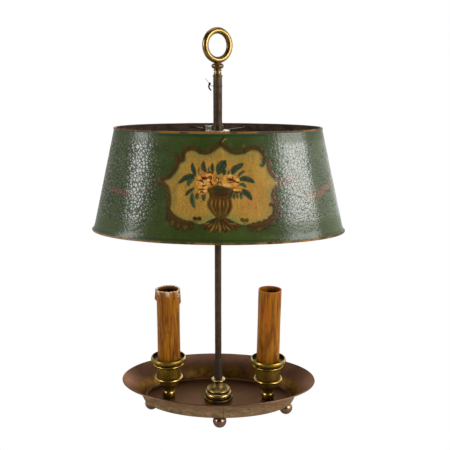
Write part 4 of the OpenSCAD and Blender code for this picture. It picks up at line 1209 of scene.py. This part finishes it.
# Leaves: base, middle, tip and width
DARK_LEAVES = (
    ((-2.6, 69.5), (1, 76.5), (5.2, 82.4), 9.4), ((12, 69.5), (15, 74.6), (23.6, 79.6), 6.2),
    ((19, 63.8), (26, 64.6), (33.8, 61), 5.8), ((-26, 67.8), (-33.5, 66.2), (-42.6, 60.6), 6.0),
    ((18.6, 52.6), (25.2, 51.2), (30.2, 44), 6.4), ((-25.4, 69), (-28, 73.6), (-29.2, 79.6), 4.8),
    ((-14.6, 72), (-17.4, 76), (-17.6, 81.8), 5.2), ((-7.6, 71.5), (-8.3, 75), (-7.8, 79.6), 4.0),
    ((3.6, 68), (4, 70.6), (5, 73.4), 4.0), ((-26.4, 55.8), (-30.5, 52.6), (-34.8, 47.8), 4.2),
)
LIGHT_LEAVES = (
    ((-26.8, 65), (-30.4, 63), (-33.8, 58.8), 5.4),
    ((-27.6, 50.4), (-28.2, 43.5), (-25.4, 36), 4.8),
    ((-22, 50.5), (-23.4, 47.6), (-23.2, 44.2), 3.8), ((-16, 50), (-17, 47), (-16.2, 43.4), 4.4),
    ((14.8, 51), (13.2, 48.4), (13.6, 45), 3.4), ((17.2, 50.6), (16.6, 48), (17, 45.2), 2.6),
    ((19.6, 51), (20.4, 48), (19.8, 44.4), 3.2), ((18.4, 67.6), (21, 70.4), (24.6, 72.2), 3.4),
    ((19, 58.6), (22.6, 58.8), (26, 57), 4.0), ((-22, 69.5), (-22.4, 73), (-21.8, 76.5), 1.8),
    ((-11.6, 71.5), (-12, 74), (-11.6, 76.5), 2.0), ((8.4, 68.5), (8.4, 71), (9.2, 73), 2.4),
)
# Petals: middle, half sizes, turn in degrees and whether deep, middling or light
PETALS = (
    (-16.6, 67.6, 4.6, 2.6, 10, 0), (-21.6, 65.4, 2.3, 2.8, 20, 1), (-11.6, 68.2, 3.9, 2.6, -14, 1),
    (-6.7, 64.6, 3.1, 5.3, 8, 1), (-5.9, 66.0, 1.7, 3.0, 12, 0), (-22.6, 60.8, 2.5, 3.2, -14, 1),
    (-14.4, 62.6, 3.6, 2.4, 18, 2), (-12.2, 59.2, 3.6, 2.6, -20, 1), (-18.4, 59.4, 3.2, 2.3, 24, 2),
    (-19.8, 56.2, 3.1, 2.2, -12, 1), (-14.8, 56.2, 2.7, 2.0, 16, 2), (-18.6, 51.8, 3.9, 2.7, 6, 1),
    (-15.4, 52.8, 1.9, 1.6, 30, 2), (-1.9, 63.6, 1.7, 2.9, 18, 2), (-0.4, 59.8, 2.0, 1.7, -20, 1),
    (10.4, 63.4, 8.2, 4.6, -4, 0), (5.3, 66.3, 3.0, 2.1, 22, 1), (10.2, 67.4, 3.1, 1.6, -4, 2),
    (14.4, 66.2, 2.6, 1.9, -30, 1), (17.5, 62.8, 2.2, 2.1, -50, 2), (4.6, 62.9, 3.5, 2.1, 8, 1),
    (8.4, 59.6, 7.8, 3.3, -4, 1), (6.4, 58.4, 4.8, 1.5, -8, 2), (15.6, 59.2, 3.1, 2.2, 24, 1),
    (17.8, 52.6, 3.3, 1.5, 12, 1), (14.6, 53.8, 1.9, 1.2, -10, 2),
)
# Dark marks between the petals
ROSE_MARKS = (
    ((-19.4, 66.6), (-17.4, 64.6), (-14.6, 65.6)), ((-17.6, 65.6), (-15.6, 63.6), (-12.8, 65.8)),
    ((-20.8, 63.6), (-18.6, 62.2), (-17.2, 59.8)), ((-12.6, 66), (-9.9, 67), (-9.2, 64.4)),
    ((-23.2, 63.3), (-20.2, 62.8)), ((-18.6, 57.8), (-16.6, 57.4), (-13.8, 58.3)),
    ((-11, 62), (-9.4, 60.2), (-8.9, 58)), ((-21.6, 53.8), (-18.8, 54), (-15.2, 54.4)),
    ((-20.8, 50.6), (-19, 52), (-17.4, 50.4)), ((-13.6, 70.6), (-10.6, 71.1), (-7.6, 70)),
    ((-3.8, 66.4), (-1.6, 65), (-2.4, 61.6)), ((-3.2, 60), (-0.6, 61.6), (0.8, 59.4)),
    ((8.2, 64.8), (10.2, 63.4), (12.4, 64.4)), ((11.6, 63.8), (14.4, 62.6), (16.4, 61.2)),
    ((6.6, 61.9), (9.8, 61.2), (13.2, 61.8)), ((15.8, 61.4), (18.6, 60.8)),
    ((6.2, 64.9), (7.6, 63.2)), ((12.9, 66.8), (12.4, 65.2)),
    ((13.4, 52.4), (16, 51.6), (19.6, 52.2)),
)

# Ribbons: trail, patch, tail and width
LEFT_RIBBON = (
    ((-73.3, 53.1), (-79.4, 51.6), (-87.8, 49.3), (-98.9, 47.5)),
    ((-97, 47.2), (-103.7, 47.2), (-110, 46.9), (-117.3, 48), (-125.5, 50)),
    ((-124.1, 49.7), (-131, 54.5), (-136.3, 62)), 6.0,
)
RIGHT_RIBBON = (
    ((73.1, 53.4), (78, 50.2), (83.8, 48), (95.3, 43.8)),
    ((94, 44), (101.6, 45.1), (108.7, 47.7), (115.2, 49.9), (120.5, 51)),
    ((119.5, 50.3), (124, 52.5), (127, 56.2), (128.6, 60)), 9.0,
)


def frame_outline():
    """The closed edge of the cartouche's ground, along the scrolls' middle lines."""
    left = [p for points, _, _ in LEFT_SCROLLS for p in curve(points, 5)]
    right = [p for points, _, _ in RIGHT_SCROLLS for p in curve(points, 5)]
    below = curve(((-27, 20.6), (-18, 20), (-8, 25), (0, 26), (8, 25), (18, 19.5), (27, 18.6)), 4)
    return np.array(left + list(below) + right[::-1])


def paint_ground(c):
    """The ochre ground with upright brush marks, paler and greener towards its edge."""
    inside, gap = c.area(frame_outline())
    brush = 0.5 + 0.3 * c.random(9, 14) + 0.25 * c.random(1.3, 9) + 0.15 * c.random(0.8, 3)
    tone = np.clip(brush, 0, 1)[..., None]
    ground = np.array(OCHRE_DEEP) * (1 - tone) + np.array(OCHRE) * tone
    rust = np.clip(c.random(6, 16) * 1.4 - 0.5, 0, 0.35)[..., None]
    ground = ground * (1 - rust) + np.array(GROUND_RUST) * rust
    edge = np.clip(1.15 - gap / (8.5 + 3.5 * c.random(8, 8)), 0, 1)[..., None] * 0.8
    ground = ground * (1 - edge) + np.array(EDGE_GREEN) * edge
    c.lay(inside, ground)


def paint_scroll(c, points, wide, colour, side):
    """One scroll: green shadow inside it, dark edges, its body and a broken light on it."""
    inward = np.array([-0.9 * side, -0.8])
    c.stroke([np.add(p, 1.6 * inward) for p in points], wide * 1.2, MOSS, taper=0.3,
             amount=0.6, soft=2.4)
    c.stroke([np.add(p, 0.6 * inward) for p in points], wide * 1.2, DARK_UMBER, taper=0.2,
             amount=0.9, soft=1.3, broken=0.1)
    c.stroke(points, wide * 1.05, colour, taper=0.3, soft=1.3)
    other = OLIVE_GOLD if colour is UMBER else UMBER
    shifted = [np.add(p, -0.5 * inward) for p in points]
    c.stroke(shifted, wide * 0.8, other, taper=0.4, soft=1.3, broken=0.5)
    c.stroke(points, wide * 0.5, DARK_UMBER, taper=0.5, amount=0.8, soft=1.1, broken=0.62)
    c.stroke(shifted, wide * 0.34, RUST if colour is UMBER else GOLD, taper=0.5, amount=0.8, soft=1.0,
             broken=0.55)


def paint_frame(c):
    """The scrolled frame, its spurs, lobes and the paired curls beside the urn's foot."""
    for points in LOBE_BANDS:
        c.stroke(points, 7.0, DARK_UMBER, taper=0.5, amount=0.8, soft=1.6)
        c.stroke(points, 5.4, GOLD, taper=0.5, soft=1.4, broken=0.35)
    for number, (base, tip, wide) in enumerate(LOBES):
        middle = np.add(base, tip) / 2 + (0.7, 0.5)
        c.stroke((base, middle, tip), wide * 1.7, DARK_UMBER, taper=0.3, amount=0.85, soft=1.4)
        c.stroke((base, middle, tip), wide * 1.25, OLIVE_GOLD if number % 2 else UMBER, taper=0.4,
                 soft=1.2, broken=0.15)
        c.stroke((base, middle, tip), wide * 0.5, GOLD, taper=0.6, amount=0.7, soft=1.2, broken=0.45)
        c.stroke([np.add(p, (1.5, 0.9)) for p in (base, middle)], 1.3, DARK_UMBER, taper=0.4,
                 amount=0.7, soft=1.0)
    for scrolls, side in ((LEFT_SCROLLS, -1), (RIGHT_SCROLLS, 1)):
        for points, wide, colour in scrolls:
            paint_scroll(c, points, wide, colour, side)
    for middle in ((20.5, 23.8), (24.8, 23.7)):
        c.blob(middle, 2.3, 2.2, SHADOW, soft=0.8)
        c.blob(middle, 1.6, 1.5, GOLD, soft=0.6)
        c.blob(middle, 0.7, 0.7, DARK_UMBER)
    for middle in ((-24.6, 25), (-20.2, 25.2)):
        c.blob(middle, 2.4, 2.0, SHADOW, soft=1.2)
        c.blob(middle, 1.2, 1.1, UMBER, soft=0.8, amount=0.8)
    c.stroke(((22.6, 22), (22.4, 15.5)), 2.2, SPUR_GREEN, amount=0.7, soft=1.2)
    c.stroke(((-22.4, 23.5), (-23, 14.5)), 2.4, SPUR_GREEN, amount=0.7, soft=1.2)
    c.blob((44, 78.6), 3.0, 2.4, LEAF_GREEN, 30, soft=1.4, amount=0.9)
    c.blob((43.2, 79.6), 1.2, 1.0, PALE_GREEN, soft=0.8, amount=0.8)
    c.blob((49.4, 38.6), 2.2, 2.3, SHADOW, soft=1.2, amount=0.9)
    c.blob((49.8, 38.2), 1.1, 1.1, UMBER, soft=0.6)
    for points, wide, colour, taper, amount in SPURS:
        c.stroke(points, wide, colour, taper=taper, amount=amount)


def paint_urn(c):
    """A ribbed urn on a spread acanthus foot."""
    c.blob((0, 19.5), 10, 6.5, SHADOW, amount=0.8, soft=2.4)
    fan = ((-18.8, 18.4, RUST), (-15.6, 14.6, UMBER), (-10.6, 11.4, GOLD), (-5.4, 12.4, OLIVE_GOLD),
           (-0.8, 10.8, GOLD), (4.4, 12.2, UMBER), (9.6, 12.4, GOLD), (14.6, 14.2, OLIVE_GOLD),
           (18.6, 17.8, RUST))
    for u, v, colour in fan:
        middle = (u * 0.42, 20.6 - abs(u) * 0.02)
        c.stroke(((u * 0.1, 27), middle, (u, v)), 4.8, DARK_UMBER, taper=0.6, soft=0.9)
        c.stroke(((u * 0.1, 27), middle, (u, v)), 3.2, colour, taper=0.7, soft=0.8, broken=0.2)
        c.stroke((middle, (u * 0.8, v + 2)), 0.9, PALE_GOLD, taper=0.8, amount=0.4, soft=0.6)
    body = curve(((-14.4, 55.2), (-10.6, 50.5), (-10.2, 46.6), (-12.5, 42), (-11.8, 36), (-8.2, 30.6),
                  (-3.4, 27.6), (3.4, 27.6), (8.2, 31), (10.8, 37), (10.4, 43), (9.6, 48),
                  (11.4, 51.5), (14.2, 54.6)), 5)
    edge_width = 1.2
    inside, gap = c.area(body)
    c.lay(np.clip(inside + 0.5 * (gap < edge_width) * (inside < 0.5), 0, 1), URN_EDGE)
    c.lay(inside * gap / (2 * edge_width), URN_BODY)
    c.blob((0.2, 50.2), 8.6, 3.6, URN_DARK, amount=0.85, soft=2.0)
    ribs, first, apart = 5, -8.4, 3.9
    for k in range(ribs):
        u = first + apart * k
        path = ((u * 0.92, 44.4), (u * 1.04, 38), (u * 0.55, 29.4))
        c.stroke(path, 2.3, OLIVE_GOLD if k % 2 else GOLD, taper=0.45, amount=0.95, soft=0.7)
        c.stroke([(a + 1.9, b) for a, b in path], 1.3, DARK_UMBER, taper=0.45, amount=0.85, soft=0.6)
        c.stroke([(a - 0.5, b - 0.8) for a, b in path[:2]], 0.7, PALE_GOLD, taper=0.8, amount=0.5)
    c.stroke(((-14, 55), (-11, 51.4), (-10.4, 47)), 2.4, URN_HANDLE, taper=0.4)
    c.stroke(((14, 54.4), (11, 51), (10.2, 47)), 2.4, URN_HANDLE, taper=0.4)
    c.stroke(((-8.6, 46.4), (0.2, 45.2), (8.4, 46.2)), 1.5, URN_BAND, taper=0.3, amount=0.8)
    c.stroke(((-5, 28.2), (0, 26.6), (5, 28.2)), 3.0, URN_BASE, taper=0.3, soft=0.9)


def paint_leaf(c, base, bend, tip, wide, colour, light):
    """A leaf with a fuller middle and a lighter stroke along it."""
    c.stroke((base, bend, tip), wide, colour, taper=0.9, soft=0.9, blunt=0.55)
    shifted = [(a + 0.14 * wide, b - 0.12 * wide) for a, b in (base, bend, tip)]
    c.stroke(shifted, wide * 0.4, light, taper=0.9, amount=0.5, soft=1.4, broken=0.4)
    c.stroke((base, bend, tip), wide * 0.16, DARK_TEAL, taper=0.8, amount=0.7, soft=0.8, broken=0.2)


def paint_flowers(c):
    """The bunch in the urn: leaves behind, two open roses and their buds."""
    for base, bend, tip, wide in LIGHT_LEAVES:
        paint_leaf(c, base, bend, tip, wide, LEAF_GREEN, PALE_GREEN)
    for base, bend, tip, wide in DARK_LEAVES:
        paint_leaf(c, base, bend, tip, wide, TEAL, LEAF_GREEN)
    c.blob((0.5, 56), 10, 3.2, BUNCH_SHADOW, amount=0.9, soft=2.2)
    c.blob((-15.2, 62.4), 8.6, 8.0, ROSE_GROUND, amount=0.9, soft=1.6)
    for u, v, half_u, half_v, turn, kind in PETALS:
        colour = (PETAL_DEEP, PETAL, PETAL_LIGHT)[kind]
        c.blob((u, v - 0.3), half_u + 0.4, half_v + 0.4, PETAL_EDGE, turn, 0.7, 0.85)
        c.blob((u, v), half_u, half_v, colour, turn, 0.8)
        lift = (u - 0.2 * half_u, v + 0.3 * half_v)
        c.blob(lift, half_u * 0.5, half_v * 0.35, PETAL_LIGHT, turn, 0.9, 0.3)
        low = (u + 0.35 * half_u, v - 0.35 * half_v)
        c.blob(low, half_u * 0.45, half_v * 0.35, PETAL_DEEP, turn, 0.9, 0.6)
    for number, mark in enumerate(ROSE_MARKS):
        c.stroke(mark, 1.4 if number % 3 else 1.8, ROSE_DARK, taper=0.5, soft=0.6)
    c.blob((-16.8, 65.2), 1.7, 1.1, ROSE_DARK, 30, 0.6)
    c.blob((10, 64.2), 1.8, 1.2, ROSE_HEART, -10, 0.6)


def painting(name, middle, seed):
    """The whole cartouche on one face of the shade."""
    low, high = (-86, 7.5), (86, 108)
    canvas = Canvas(low, high, seed)
    paint_ground(canvas)
    paint_frame(canvas)
    paint_urn(canvas)
    paint_flowers(canvas)
    rub = canvas.random(5, 5) * 0.5 + canvas.random(1.3, 1.3) * 0.5
    canvas.cover *= np.clip(1.25 - np.maximum(0, rub - 0.45) * 2.4, 0, 1)
    canvas.piece(name, middle)


def ribbon(name, middle, trail, patch, tail, wide, seed):
    """A worn ribbon that hangs from one side of a cartouche towards the shade's end: a faint
    trail, a thick patch of paint and the tail that rises after it."""
    margin = 6
    spots = np.array(trail + patch + tail)
    canvas = Canvas(spots.min(0) - margin, spots.max(0) + margin, seed)
    canvas.stroke(trail, wide * 0.8, RIBBON, taper=0.4, amount=0.45, soft=1.4, broken=0.5)
    canvas.stroke(tail, wide * 0.7, RIBBON, taper=0.7, amount=0.5, soft=1.4, broken=0.4)
    canvas.stroke(patch, wide * 1.15, RIBBON_DARK, taper=0.35, amount=0.75, soft=1.4)
    canvas.stroke(patch, wide * 0.85, RIBBON, taper=0.35, amount=0.9, soft=1.2, broken=0.15)
    for shift in (-0.24, 0.1, 0.36):
        line = [(u, v + shift * wide) for u, v in patch]
        canvas.stroke(line, wide * 0.16, RIBBON_DARK, taper=0.5, amount=0.55, soft=0.8, broken=0.35)
    canvas.cover *= np.clip(0.85 + 0.4 * canvas.random(2, 2), 0, 1)
    canvas.piece(name, middle)


# ---- the CAD nodes that stay ----

def dress_nodes():
    """Gives every CAD node the material of its slot."""
    for entry in frame["record"]["subparts"]:
        material = MATERIALS.get(entry["material_slot"])
        if material:
            mesh = frame["nodes"][entry["node"]].data
            mesh.materials.clear()
            mesh.materials.append(material)


# ---- stage, light and camera, in metres ----

# Height at which the lights aim
AIM_HEIGHT = 0.25


def stage_mesh(name, rings, material):
    """A round surface through rings of (radius, height) in metres, closed in the middle."""
    columns = 96
    faces = grid_faces(len(rings), columns)
    faces.append(tuple(range(columns)))
    mesh = bpy.data.meshes.new(name)
    mesh.from_pydata(spun(rings, columns), [], faces)
    mesh.materials.append(material)
    surface = bpy.data.objects.new(name, mesh)
    bpy.context.scene.collection.objects.link(surface)
    return surface


def stage():
    """A white studio. The camera sees an even white backdrop that turns up behind the lamp, and
    the lamp sees a sheet of paper under it."""
    flat, far, curve_z, high = 1.7, 2.9, 1.2, 2.4
    white = Shader("backdrop_white")
    glow = white.add("ShaderNodeEmission", {"Color": (1, 1, 1), "Strength": 1.0})
    output = next(n for n in white.nodes if n.type == "OUTPUT_MATERIAL")
    white.put(output.inputs["Surface"], glow.outputs["Emission"])
    rings = bent((flat, 0.0), (far, 0.0), (far, curve_z), 16) + [(far, high)]
    backdrop = stage_mesh("backdrop", rings, white.material)
    for ray in ("diffuse", "glossy", "transmission", "shadow"):
        setattr(backdrop, "visible_" + ray, False)

    paper = Shader("table_paper")
    tone = paper.mix(paper.noise(60, 3), srgb(236, 235, 233), srgb(230, 229, 227))
    sheet = stage_mesh("paper", [(0.1, 0.0), (0.4, 0.0), (0.8, 0.0)], paper.finish(tone, 0.9))
    sheet.visible_camera = False


def softbox(name, azimuth, distance, height, size, power, roll=0.0):
    """A soft light, aimed at the lamp. Azimuth in degrees from +X, lengths in metres; roll in
    degrees turns it round its own axis."""
    light = bpy.data.lights.new(name, "AREA")
    light.shape = "RECTANGLE"
    light.size, light.size_y = size
    light.energy = power
    lamp = bpy.data.objects.new(name, light)
    a = math.radians(azimuth)
    lamp.location = (distance * math.cos(a), distance * math.sin(a), height)
    aim = Vector((0, 0, AIM_HEIGHT)) - lamp.location
    turn = Quaternion((0, 0, 1), math.radians(roll))
    lamp.rotation_euler = (aim.to_track_quat("-Z", "Y") @ turn).to_euler()
    lamp.visible_camera = False
    bpy.context.scene.collection.objects.link(lamp)


def lights():
    """A softbox in front on each side, the right one larger, a large one above and one behind."""
    softbox("left_softbox", 209, 1.5, 0.6, (0.34, 0.8), 10, roll=35)
    softbox("right_softbox", -33, 1.5, 0.56, (0.84, 0.6), 17)
    softbox("top_softbox", 90, 0.3, 1.9, (1.4, 1.0), 8)
    softbox("rear_softbox", 90, 1.8, 1.0, (1.6, 0.9), 6)


def studio_world():
    """The room: bright round the horizon behind and beside the lamp, brightest on the right,
    dark in front of it and dim overhead."""
    world = bpy.data.worlds.new("studio")
    world.use_nodes = True
    room = Nodes(world.node_tree)
    way = room.add("ShaderNodeTexCoord").outputs["Generated"]
    parts = room.add("ShaderNodeSeparateXYZ", {"Vector": way}).outputs
    behind = room.span(parts["Y"], -0.5, 0.0, 0.04, 1.3)
    overhead = room.span(parts["Z"], 0.3, 0.7, 1.0, 0.1)
    right = room.span(parts["X"], -0.5, 0.6, 0.6, 1.15)
    sky = room.nodes["Background"]
    room.put(sky.inputs["Color"], (1, 1, 1))
    room.put(sky.inputs["Strength"], room.times(room.times(behind, overhead), right))
    bpy.context.scene.world = world


def camera():
    """A 58 mm lens in front, above and right of the lamp's middle, looking down and to the left."""
    place = Vector((0.0406, -0.7837, 0.3913))
    looking = Vector((-0.0409, 0.9762, -0.2130))
    lens = bpy.data.cameras.new("view")
    lens.sensor_width = 36
    lens.lens = 58.4
    view = bpy.data.objects.new("view", lens)
    view.location = place
    view.rotation_euler = looking.to_track_quat("-Z", "Y").to_euler()
    bpy.context.scene.collection.objects.link(view)
    bpy.context.scene.camera = view
    bpy.context.scene.view_settings.view_transform = "Standard"


camera()
dress_nodes()
tray()
for side in ("front", "back", "left", "right"):
    foot(side)
pedestal()
stem()
collar()
carrying_ring()
tag_wire()
for side in ("left", "right"):
    cup(side)
    sleeve(side)
shade_shell()
edge_bead("upper_edge", SHADE_HEIGHT, "shade_top_bead")
edge_bead("lower_edge", 0.0, "shade_bottom_bead")
# Both faces: the painting's middle and the seed of its brush marks
FACES = (("front", PAINT_SHIFT, 3), ("back", PERIMETER / 2 + PAINT_SHIFT, 8))
for face, middle, seed in FACES:
    painting(face + "_cartouche", middle, seed)
for face, middle, _ in FACES:
    ribbon(face + "_left_ribbon", middle, *LEFT_RIBBON, seed=5)
    ribbon(face + "_right_ribbon", middle, *RIGHT_RIBBON, seed=6)
stage()
lights()
studio_world()
